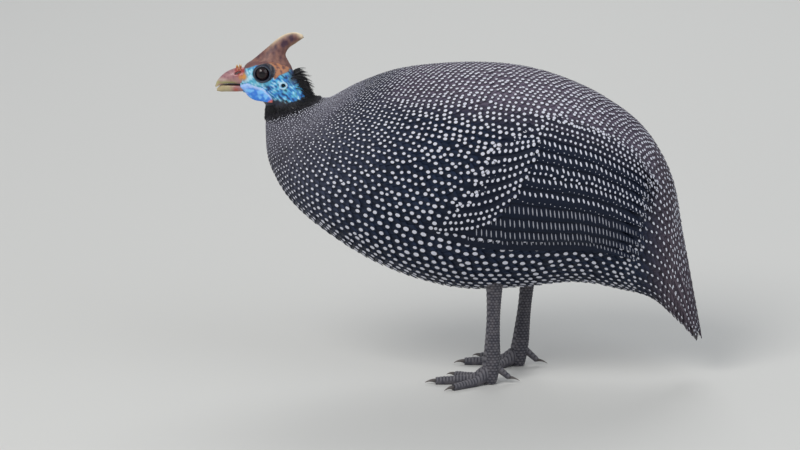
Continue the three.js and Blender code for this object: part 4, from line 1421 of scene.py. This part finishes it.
        # The inside of the ear cup is painted near-black as the shade in the opening.
        tint = blend(tint, Face.EAR.value, step(2.3, 1.5, ear))
        light = step(-204, -198, x) * step(0.45, -0.1, fine)
        horn = blend(Face.HORN.value, Face.HORN_LIGHT.value, light)
        tint = blend(tint, horn, self.horn_mask(points))
        dark = np.maximum(step(1.04, 0.96, wedge), step(8.3, 7.7, eye))
        tint = blend(tint, Face.EYE_PATCH.value, dark)
        line = np.exp(-(((eye - 7.0) / 0.4) ** 2)) * 0.30
        return blend(tint, Face.LID.value, line)

    @staticmethod
    def wedge(x: Array, z: Array) -> Array:
        """Distance from the eye in shares of the black patch round it, which points up and back."""
        dx, dz = x - EYE.x - 0.6, z - EYE.z - 0.3
        corner = np.maximum(dx * 0.75 + dz * 0.66, 0) ** 2 / 75
        return np.sqrt(np.maximum((dx / 9.4) ** 2 + (dz / 7.9) ** 2 - corner * 0.42, 0))

    def add_wattle(self, soup: Soup, side: int) -> None:
        """Adds one wattle, a thin fold that hangs from the corner of the mouth.

        Args:
            soup: The skin's arrays.
            side: -1 for the left and 1 for the right.
        """
        rows, columns = 44, 20
        u, v = np.meshgrid(np.linspace(0, 1, rows), np.linspace(-0.5, 0.5, columns), indexing="ij")
        upper, lower = (
            smooth_line(np.array([getattr(place, edge) for place in WATTLE_STATIONS], float), u[:, 0])
            for edge in ("top", "bottom")
        )
        flat = lower[:, None] + (upper - lower)[:, None] * (v + 0.5)[..., None]
        lift = 1 - (2 * v) ** 2
        half = 0.25 + 0.75 * lift
        wave = 0.4 * np.sin(u * 9 + v * 3)
        out = 12.4 + 5.5 * u - 2.5 * v + wave
        points = np.stack(
            [
                np.stack([flat[..., 0], side * (out + face * half), flat[..., 1]], axis=-1)
                for face in (1, -1)
            ]
        )
        spots = folds(points[0], 3.5, 2.0)
        # A whitish band near the top edge is a painted highlight.
        edge = np.exp(-(((v - 0.36 - 0.12 * spots) / 0.11) ** 2))
        tint = blend(Wattle.BLUE.value, Wattle.LIGHT.value, step(-0.05, 0.3, spots))
        tint = blend(tint, Wattle.PAINTED_HIGHLIGHT.value, edge * 0.8)
        tint = blend(tint, Wattle.ROOT.value, step(0.35, 0.1, u + 0.2 * spots) * 0.7)
        tint = blend(tint, Wattle.TIP.value, step(0.87, 0.95, u + 0.06 * spots - 0.1 * v))
        size = rows * columns
        grid = ring_grid(rows, columns)
        rim = rim_grid(rows, columns)
        quads = np.concatenate([grid[:, ::-1], grid + size, rim[:, ::-1]])
        if side > 0:
            quads = quads[:, ::-1]
        place = np.stack([u, v + 0.5], axis=-1)
        both = np.stack([place, place])
        soup.add(points, [(quads, 0)], np.stack([tint, tint]), both, both)


class Casque:
    """The horny casque on the crown."""

    def grow(self) -> None:
        """Builds the casque with its pale ridge, furrowed sides and tip."""
        form = StationForm(CASQUE_STATIONS, 1.9)
        t, phi = form_net(0.6, 6.98, 90, 72)
        points = form.point(t, phi)
        rough = folds(points * [0.9, 1, 0.55], 3.0, 4.0)
        fine = folds(points, 1.1, 8.0)
        sides = np.abs(np.sin(phi)) ** 1.5
        dent = -0.55 * step(0.0, 0.6, rough) - 0.15 * fine
        points = form.above(t, phi, dent * sides)
        ridge = np.exp(-((phi / 0.55) ** 2)) * step(2.3, 4.2, t)
        tip = step(5.6, 6.7, t)
        streak = np.exp(-(((np.abs(phi) - 1.55) / 0.55) ** 2)) * step(2.2, 3.4, t) * step(6.3, 5.4, t)
        plum = np.clip(streak * (0.75 + rough) + step(0.15, 0.5, rough) * 0.7, 0, 1)
        tint = blend(Horn.BROWN.value, Horn.TAN.value, step(0.05, -0.35, rough) * 0.65)
        tint = blend(tint, Horn.PLUM.value, plum)
        tint = blend(tint, Horn.SPECK.value, step(0.15, 0.45, fine) * 0.35)
        tint = blend(tint, Horn.CREAM.value, np.clip(ridge * 1.2 + tip * 0.9, 0, 1))
        back = np.exp(-(((np.abs(phi) - math.pi) / 0.6) ** 2)) * step(3.4, 5.0, t)
        tint = blend(tint, Horn.BACK.value, back * 0.85)
        soup = Soup()
        tube(soup, points, tint)
        soup.build("casque_horn", [HORN_FINISH], ("casque",))


class Bill:
    """The two halves of the bill, with cere, nostrils and bristles."""

    def grow(self) -> None:
        """Builds both halves."""
        for name, stations, upper in (("upper", UPPER_BILL, True), ("lower", LOWER_BILL, False)):
            form = StationForm(stations, 2.0, -0.08 if upper else 0.08, -1 if upper else 1)
            t, phi = form_net(0.0, form.last, 60, 48)
            points = form.point(t, phi)
            x, y, z = points[..., 0], points[..., 1], points[..., 2]
            rough = folds(points, 2.2, 6.0)
            tint = blend(Horn.PINK.value, Horn.DUSK.value, step(0.05, 0.5, rough) * 0.6)
            if upper:
                # An olive band along the lower edge of the upper bill, partly the horn's own colour and
                # partly painted shade under that edge.
                edge = np.exp(-(((z - 277.6 - 0.04 * (x + 240)) / 1.3) ** 2))
                tint = blend(tint, Horn.OLIVE.value, edge * step(-228, -236, x) * 0.9)
                tint = blend(tint, Horn.PALE.value, step(-246, -250.5, x) * 0.8)
                # A pale band towards the tip is a painted highlight.
                bill_highlight = np.exp(-(((z - 280) / 1.4) ** 2)) * step(-236, -244, x)
                tint = blend(tint, Horn.BILL_HIGHLIGHT.value, bill_highlight * 0.6)
                cere = step(-235, -232, x)
                tint = blend(tint, Horn.CERE.value, cere * step(282.5, 285.5, z))
                corner = cere * np.exp(-(((z - 283) / 1.9) ** 2)) * step(-231, -228, x)
                tint = blend(tint, Horn.CORNER.value, corner)
                # The nostril slits are sunk and painted near-black as the shade inside them.
                slot = np.hypot((x + 230.5) / 3.1, (z - 286.8 - (x + 230.5) * 0.35) / 1.1)
                inside = step(1.15, 0.8, slot) * (np.abs(y) > 2)
                tint = blend(tint, Horn.NOSTRIL_SHADE.value, inside)
                points[..., 1] -= np.sign(y) * inside * 1.5
            else:
                tint = blend(tint, Horn.PALE.value, step(-232, -240, x) * 0.7)
                spot = np.exp(-(((x + 232) / 2.4) ** 2 + ((z - 270.5) / 2.2) ** 2))
                tint = blend(tint, Horn.LOWER_RED.value, np.clip(spot * 1.2, 0, 1))
            # The inner faces along the mouth line are painted near-black as the shade in the gap between the
            # halves.
            lower_edge = z + 0.12 * np.maximum(-241 - x, 0) * 2
            mouth = step(276.4, 275.6, z) if upper else step(274.2, 274.9, lower_edge)
            gap_shade = mouth * step(0.3, 0.6, 1 - np.abs(y) / 9) * step(-246, -240, x)
            tint = blend(tint, Horn.MOUTH_SHADE.value, gap_shade)
            soup = Soup()
            tube(soup, points, tint)
            if upper:
                self.add_bristles(soup)
            soup.build(f"bill_{name}_horn", [BILL_FINISH], (f"bill_{name}",))

    def add_bristles(self, soup: Soup) -> None:
        """Adds the red and yellow bristles on the cere."""
        random = np.random.default_rng(5)
        for _ in range(26):
            y = random.uniform(-4.2, 4.2)
            root = np.array([random.uniform(-232.5, -227.5), y, 290.6 - 0.13 * y * y])
            tip = root + [random.uniform(-1.6, 0.6), y * 0.25, random.uniform(1.4, 3.6)]
            tint = blend_line(Horn.BRISTLE_RED.value, Horn.BRISTLE_YELLOW.value, 5, 6)
            tube(soup, thread(root - [0, 0, 1], tip, 0.42, 0.0, 5, 6), tint)


def thread(root: Array, tip: Array, radius: float, bend: float, rings: int, sides: int) -> Array:
    """Rings of a thin tapering thread.

    Args:
        root: Its root.
        tip: Its tip.
        radius: The radius at its root.
        bend: How far its middle sags.
        rings: How many rings it has.
        sides: How many points each ring has.

    Returns:
        Points by ring and side.
    """
    way = (tip - root) / np.linalg.norm(tip - root)
    across = np.cross(way, [0.13, 0.97, 0.21])
    across /= np.linalg.norm(across)
    other = np.cross(way, across)
    made = []
    for u in np.linspace(0, 1, rings):
        centre = root + (tip - root) * u + np.array([0, 0, bend * math.sin(math.pi * u)])
        size = radius * (1 - 0.85 * u**1.6)
        angle = np.linspace(0, 2 * math.pi, sides, endpoint=False)
        made.append(centre + size * (np.cos(angle)[:, None] * across + np.sin(angle)[:, None] * other))
    return np.array(made)[:, ::-1]


def blend_line(a: Colour, b: Colour, rings: int, sides: int) -> Array:
    """Colours that run from a at the first ring to b at the last."""
    u = np.repeat(np.linspace(0, 1, rings)[:, None], sides, axis=1)
    return blend(a, b, u**1.5)


class NapeHair:
    """The black hair-like feathers of nape and throat.

    Attributes:
        NAPE: How many threads stand on the nape.
        THROAT: How many short threads run from the head's end to the body.
        COLLAR: How many short threads lie on the first feathers of the neck.
    """

    NAPE = 420
    THROAT = 700
    COLLAR = 1100

    def grow(self) -> None:
        """Builds the threads of the nape and the short bristles of the throat."""
        random = np.random.default_rng(11)
        soup = Soup()
        black = np.array([0.010, 0.010, 0.013])
        for _ in range(self.NAPE):
            t = random.uniform(4.6, 6.8)
            phi = random.normal(0, 0.27)
            root = HEAD.above(np.array([t]), np.array([phi]), -0.8)[0]
            along = (t - 4.6) / 2.2
            length = random.uniform(6, 12) + 4 * along
            way = np.array([0.78, math.sin(phi) * 0.25, 0.34 - 1.45 * along**0.8])
            way = way / np.linalg.norm(way) + random.normal(0, 0.10, 3)
            lines = thread(root, root + way * length, 0.46, 1.2, 6, 4)
            tube(soup, lines, black)
        for _ in range(self.THROAT):
            t = random.uniform(5.9, 6.9)
            phi = random.uniform(-math.pi, math.pi)
            if abs(phi) < 1.5 and t < 6.5:
                continue
            root = HEAD.above(np.array([t]), np.array([phi]), -0.4)[0]
            away = BODY.above(np.array([0.45]), np.array([phi]), 0.6)[0] - root
            away = away / np.linalg.norm(away) + random.normal(0, 0.06, 3)
            tube(soup, thread(root, root + away * random.uniform(4, 6), 0.4, 0.0, 4, 4), black)
        for _ in range(self.COLLAR):
            t = random.uniform(0.02, 0.42)
            phi = random.uniform(-math.pi, math.pi)
            root, tip = (
                BODY.above(np.array([place]), np.array([phi]), height)[0]
                for place, height in ((t, -0.6), (t + 0.13, random.uniform(0.6, 1.5)))
            )
            grey = random.uniform(0.6, 1.0) * step(0.1, 0.5, t)
            tube(soup, thread(root, tip, 0.4, 0.0, 3, 4), blend(black, (0.045, 0.042, 0.055), grey))
        soup.build("nape_hair", [DOWN_FINISH])


class Eyes:
    """The two eyes, each a glossy ball with a dark brown iris."""

    def grow(self) -> None:
        """Builds both eyes."""
        for name, side in (("left", -1), ("right", 1)):
            centre = (EYE.x * MM + SHIFT, side * EYE.y * MM, EYE.z * MM)
            bpy.ops.object.select_all(action="DESELECT")
            bpy.ops.mesh.primitive_uv_sphere_add(
                segments=48,
                ring_count=32,
                radius=EYE_RADIUS * MM,
                location=centre,
                rotation=(math.pi / 2, 0, 0),
            )
            ball = bpy.context.object
            bpy.ops.object.transform_apply(location=True, rotation=True, scale=True)
            ball.name = f"eyeball_{name}"
            mesh = ball.data
            mesh.materials.append(EYE_FINISH.material())
            mesh.materials.append(IRIS_FINISH.material())
            for face in mesh.polygons:
                out = (face.center - Vector(centre)).normalized()
                angle = math.degrees(math.acos(max(-1, min(1, out.y * side))))
                face.material_index = 1 if 24 < angle < 46 else 0
                face.use_smooth = True
            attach(ball, "root")
            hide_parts(f"eye_{name}")
            log.info("%s: %d faces", ball.name, len(mesh.polygons))


@dataclass
class Leg:
    """One leg: a shank with scutes, the foot, its four toes and their claws.

    Attributes:
        side: -1 for the left leg and 1 for the right one.
        hock: The hock's place along the bird, its distance from the middle plane and its height.
        joint: The same of the joint above the toes.
        toes: Each front toe's heading in degrees, its length, its radius and its number of plates.
    """

    side: int
    hock: tuple[float, float, float]
    joint: tuple[float, float, float]
    toes: dict[str, tuple[float, float, float, int]] = field(
        default_factory=lambda: {
            "inner": (-34, 33, 4.5, 11),
            "middle": (2, 45, 5.0, 15),
            "outer": (34, 36, 4.5, 12),
        }
    )

    def grow(self) -> None:
        """Builds the leg and its claws."""
        name = "left" if self.side < 0 else "right"
        skin, claws = Soup(), Soup()
        self.add_shank(skin)
        joint = np.array([self.joint[0] - 1.5, self.side * self.joint[1], 0.0])
        for heading, length, radius, plates in self.toes.values():
            angle = math.radians(-self.side * heading)
            along = np.array([-math.cos(angle), -math.sin(angle), 0])
            start = joint + along * 4.0
            self.add_toe(skin, start, along, length + 1.0, radius, plates)
            root = start + along * (length + 0.2)
            root[2] = radius * 0.6
            self.add_claw(claws, root, along, 10.6, 2.6, 1.5, 2.7)
        hind_start = np.array([self.joint[0] + 1, self.side * self.joint[1], 18.5])
        hind_end = np.array([self.joint[0] + 16, self.side * (self.joint[1] - 2), 5.4])
        self.add_hind_toe(skin, hind_start, hind_end)
        self.add_claw(claws, hind_end - [0.6, 0, 0], np.array([1.0, 0, 0]), 10.4, 2.1, 0.4, 3.6)
        names = (*self.toes, "hind")
        joined = (f"tarsus_{name}", f"foot_{name}", *(f"toe_{toe}_{name}" for toe in names))
        skin.build(f"leg_{name}", [LEG_FINISH], joined)
        claws.build(f"claws_{name}", [CLAW_FINISH], tuple(f"claw_{toe}_{name}" for toe in names))

    def paint(self, points: Array, plate: Array) -> Array:
        """Slate scales with dusty wear, a painted highlight on the raised middle of each scale and painted
        shade in the grooves.

        Args:
            points: The skin's points.
            plate: From 0 to 1 from the groove to the middle of each scale.

        Returns:
            Colours.
        """
        dust = folds(points, 4.0, 12.0)
        tint = blend(Scale.SLATE.value, Scale.DUST.value, step(-0.3, 0.5, dust))
        # A painted highlight on the raised middle of each scale, and painted shade in the grooves.
        tint = blend(tint, Scale.PAINTED_HIGHLIGHT.value, step(0.55, 1.0, plate) * 0.55)
        return blend(tint, Scale.GROOVE_SHADE.value, step(0.35, 0.0, plate) * 0.9)

    def add_shank(self, soup: Soup) -> None:
        """Adds the shank, with broad scutes in front and beads behind, and the foot's block."""
        sides, rings = 60, 190
        hock = np.array([self.hock[0], self.side * self.hock[1], self.hock[2] + 8])
        foot = np.array([self.joint[0] - 1.0, self.side * self.joint[1], 0.0])
        joint = np.array([self.joint[0], self.side * self.joint[1], self.joint[2]])
        u, angle = tube_net(rings, sides)
        z = hock[2] * (1 - u)
        low = step(26, 4, z)
        share = np.clip((hock[2] - z) / (hock[2] - joint[2]), 0, 1)
        x = hock[0] + (joint[0] - hock[0]) * share + (foot[0] - joint[0]) * step(joint[2], 0, z)
        waist = 1 - np.sin(math.pi * np.minimum(1, share * 0.92 + 0.06)) ** 1.5
        rear = np.maximum(0, np.cos(angle))
        sole = 0.62 + 0.38 * np.sqrt(np.clip(1 - (1 - np.minimum(z / 9, 1)) ** 2, 0, 1))
        long = (6.0 + 2.0 * waist) * (1 - low) + (9.0 - 2.6 * rear) * low * sole
        wide = (4.6 + 1.2 * waist) * (1 - low) + 7.4 * low * sole
        front = np.maximum(0, -np.cos(angle))
        bead = 2.6
        row = np.floor(z / bead)
        cell = np.hypot(z / bead % 1 - 0.5, (angle * 13 / (2 * math.pi) + 0.5 * (row % 2)) % 1 - 0.5)
        scute = np.minimum(1, 2.6 * (0.5 - np.abs((z / 5.4) % 1 - 0.5)))
        plate = np.where(front > 0.62, scute, np.clip(1.3 - 2.3 * cell, 0, 1))
        x = x + (long + 0.4 * plate) * np.cos(angle)
        y = self.side * self.hock[1] + (wide + 0.4 * plate) * np.sin(angle)
        points = np.stack([x, y, np.maximum(z, 0.0)], axis=-1)
        tube(soup, points, self.paint(points, plate))

    @staticmethod
    def scutes(u: Array, plates: int) -> Array:
        """From 0 in the grooves to 1 on the plates that follow each other along a toe."""
        return np.minimum(1, 3 * (0.5 - np.abs((u * plates) % 1 - 0.5)))

    def add_toe(
        self, soup: Soup, start: Array, along: Array, length: float, radius: float, plates: int
    ) -> None:
        """Adds a toe on the ground, which rises to the shank and has plates on top.

        Args:
            soup: Where it goes.
            start: Its root.
            along: The way it points.
            length: Its length.
            radius: Its radius at the root.
            plates: How many plates it has.
        """
        sides, rings = 28, plates * 8 + 1
        across = np.array([-along[1], along[0], 0])
        u, angle = tube_net(rings, sides)
        size = radius * (1 - 0.32 * u)
        rise = 9.0 * step(15, -2, u * length)
        joints = 0.06 * np.abs(np.sin(u * math.pi * 3)) ** 4
        plate = self.scutes(u, plates)
        top = np.maximum(0, np.cos(angle))
        grow = 1 + joints + 0.12 * plate * step(0.1, 0.5, top)
        centre = start + along * (length * u)[..., None]
        points = centre + across * (np.sin(angle) * size * grow * 0.94)[..., None]
        high = size * 0.86 + np.cos(angle) * size * grow + rise * (0.35 + 0.65 * top)
        points[..., 2] = np.maximum(high, 0.0)
        tube(soup, points, self.paint(points, np.where(top > 0.15, plate, 0.45)))

    def add_hind_toe(self, soup: Soup, start: Array, end: Array) -> None:
        """Adds the short hind toe, which slopes from the shank to the ground."""
        sides, rings = 20, 41
        way = (end - start) / np.linalg.norm(end - start)
        across = np.array([0.0, 1.0, 0.0])
        up = np.cross(across, way) * -1
        u, angle = tube_net(rings, sides)
        size = 3.6 * (1 - 0.32 * u)
        plate = self.scutes(u, 5)
        top = np.maximum(0, np.cos(angle))
        grow = 1 + 0.12 * plate * step(0.1, 0.5, top)
        points = (
            start
            + (end - start) * u[..., None]
            + across * (np.sin(angle) * size * 0.9)[..., None]
            + up * (np.cos(angle) * size * grow)[..., None]
        )
        tube(soup, points, self.paint(points, np.where(top > 0.15, plate, 0.45)))

    @staticmethod
    def add_claw(
        soup: Soup, root: Array, along: Array, length: float, radius: float, arch: float, drop: float
    ) -> None:
        """Adds one curved claw."""
        sides, rings = 16, 18
        across = np.array([-along[1], along[0], 0])
        u, angle = tube_net(rings, sides)
        size = radius * (1 - 0.88 * u**0.9)
        centre = root + along * (length * u)[..., None]
        centre[..., 2] = root[2] + arch * np.sin(math.pi * u * 0.6) - drop * u * u
        points = centre + across * (np.sin(angle) * size * 0.62)[..., None]
        points[..., 2] = np.maximum(points[..., 2] + np.cos(angle) * size * 0.9, 0.05)
        tube(soup, points, blend(Scale.CLAW.value, Scale.CLAW_TIP.value, u))


@dataclass(frozen=True)
class Lamp:
    """A square soft lamp that points at the bird.

    Attributes:
        place: Where it stands, in metres.
        power: Its power in watts.
        size: The length of its sides in metres.
        colour: Its colour.
    """

    place: tuple[float, float, float]
    power: float
    size: float
    colour: Colour


LAMPS = (
    Lamp((-1.4, -2.0, 2.6), 62, 1.6, (1.0, 0.98, 0.95)),
    Lamp((1.8, -1.2, 1.6), 14, 2.0, (0.9, 0.95, 1.0)),
    Lamp((0.3, 2.2, 2.2), 26, 1.8, (1.0, 1.0, 1.0)),
)


@dataclass
class Studio:
    """The floor, the lights and the camera.

    Attributes:
        azimuth: The camera's angle round the bird in degrees, 0 at its left side.
        elevation: Its angle above the horizon in degrees.
        lens: Its focal length in millimetres.
        width: How many metres the picture spans at the bird.
        aim: The place in its middle, in metres.
    """

    SENSOR = 36.0

    azimuth: float = 0.0
    elevation: float = 14.0
    lens: float = 200.0
    width: float = 0.736
    aim: tuple[float, float, float] = (0.0, 0.0, 0.1425)

    def build(self) -> None:
        """Sets up floor, lights and camera."""
        self.add_floor()
        self.add_sky()
        for lamp in LAMPS:
            self.add_lamp(lamp)
        self.add_camera()
        bpy.context.scene.view_settings.view_transform = "Standard"

    @staticmethod
    def place(name: str, data: bpy.types.ID, at: Vector, way: Vector) -> bpy.types.Object:
        """Puts a lamp or a camera into the scene.

        Args:
            name: Its name.
            data: The lamp's or the camera's data.
            at: Where it stands.
            way: The way it looks.

        Returns:
            The object.
        """
        made = bpy.data.objects.new(name, data)
        made.location = at
        made.rotation_mode = "QUATERNION"
        made.rotation_quaternion = way.to_track_quat("-Z", "Y")
        bpy.context.scene.collection.objects.link(made)
        return made

    def add_floor(self) -> None:
        """Lays the pale floor."""
        bpy.ops.object.select_all(action="DESELECT")
        bpy.ops.mesh.primitive_plane_add(size=40, location=(0, 0, 0))
        floor = bpy.context.object
        floor.name = "floor"
        paper = PlainFinish("pale_floor", "floor", (0.62, 0.62, 0.60), 0.8).material()
        floor.data.materials.append(paper)

    def add_sky(self) -> None:
        """Adds the even light from all round."""
        world = bpy.data.worlds.new("studio")
        bpy.context.scene.world = world
        world.use_nodes = True
        sky = world.node_tree.nodes["Background"]
        sky.inputs["Color"].default_value = (0.92, 0.95, 1.0, 1)
        sky.inputs["Strength"].default_value = 0.42

    def add_lamp(self, lamp: Lamp) -> None:
        """Adds a lamp."""
        light = bpy.data.lights.new("softbox", "AREA")
        light.energy, light.size, light.color = lamp.power, lamp.size, lamp.colour
        at = Vector(lamp.place)
        self.place("softbox", light, at, Vector((0, 0, 0.15)) - at)

    def add_camera(self) -> None:
        """Adds the camera with its long lens."""
        a, e = math.radians(self.azimuth), math.radians(self.elevation)
        back = Vector((math.sin(a) * math.cos(e), -math.cos(a) * math.cos(e), math.sin(e)))
        camera = bpy.data.cameras.new("camera")
        camera.lens, camera.sensor_width = self.lens, self.SENSOR
        camera.clip_start, camera.clip_end = 0.1, 100
        at = Vector(self.aim) + back * (self.width * self.lens / self.SENSOR)
        bpy.context.scene.camera = self.place("camera", camera, at, -back)


def main() -> None:
    """Builds the whole bird and the studio."""
    logging.basicConfig(level=logging.INFO, format="%(name)s %(message)s")
    Skin().grow()
    Coat().grow()
    for side in (-1, 1):
        WingFeathers(side).grow()
    TailFeathers().grow()
    Casque().grow()
    Bill().grow()
    Eyes().grow()
    NapeHair().grow()
    Leg(-1, (4, 31, 94), (1.5, 32, 17)).grow()
    Leg(1, (38, 31, 94), (29, 31, 17)).grow()
    Studio(aim=(SHIFT - 0.0828, 0.0, 0.1425)).build()


if __name__ == "__main__":
    main()
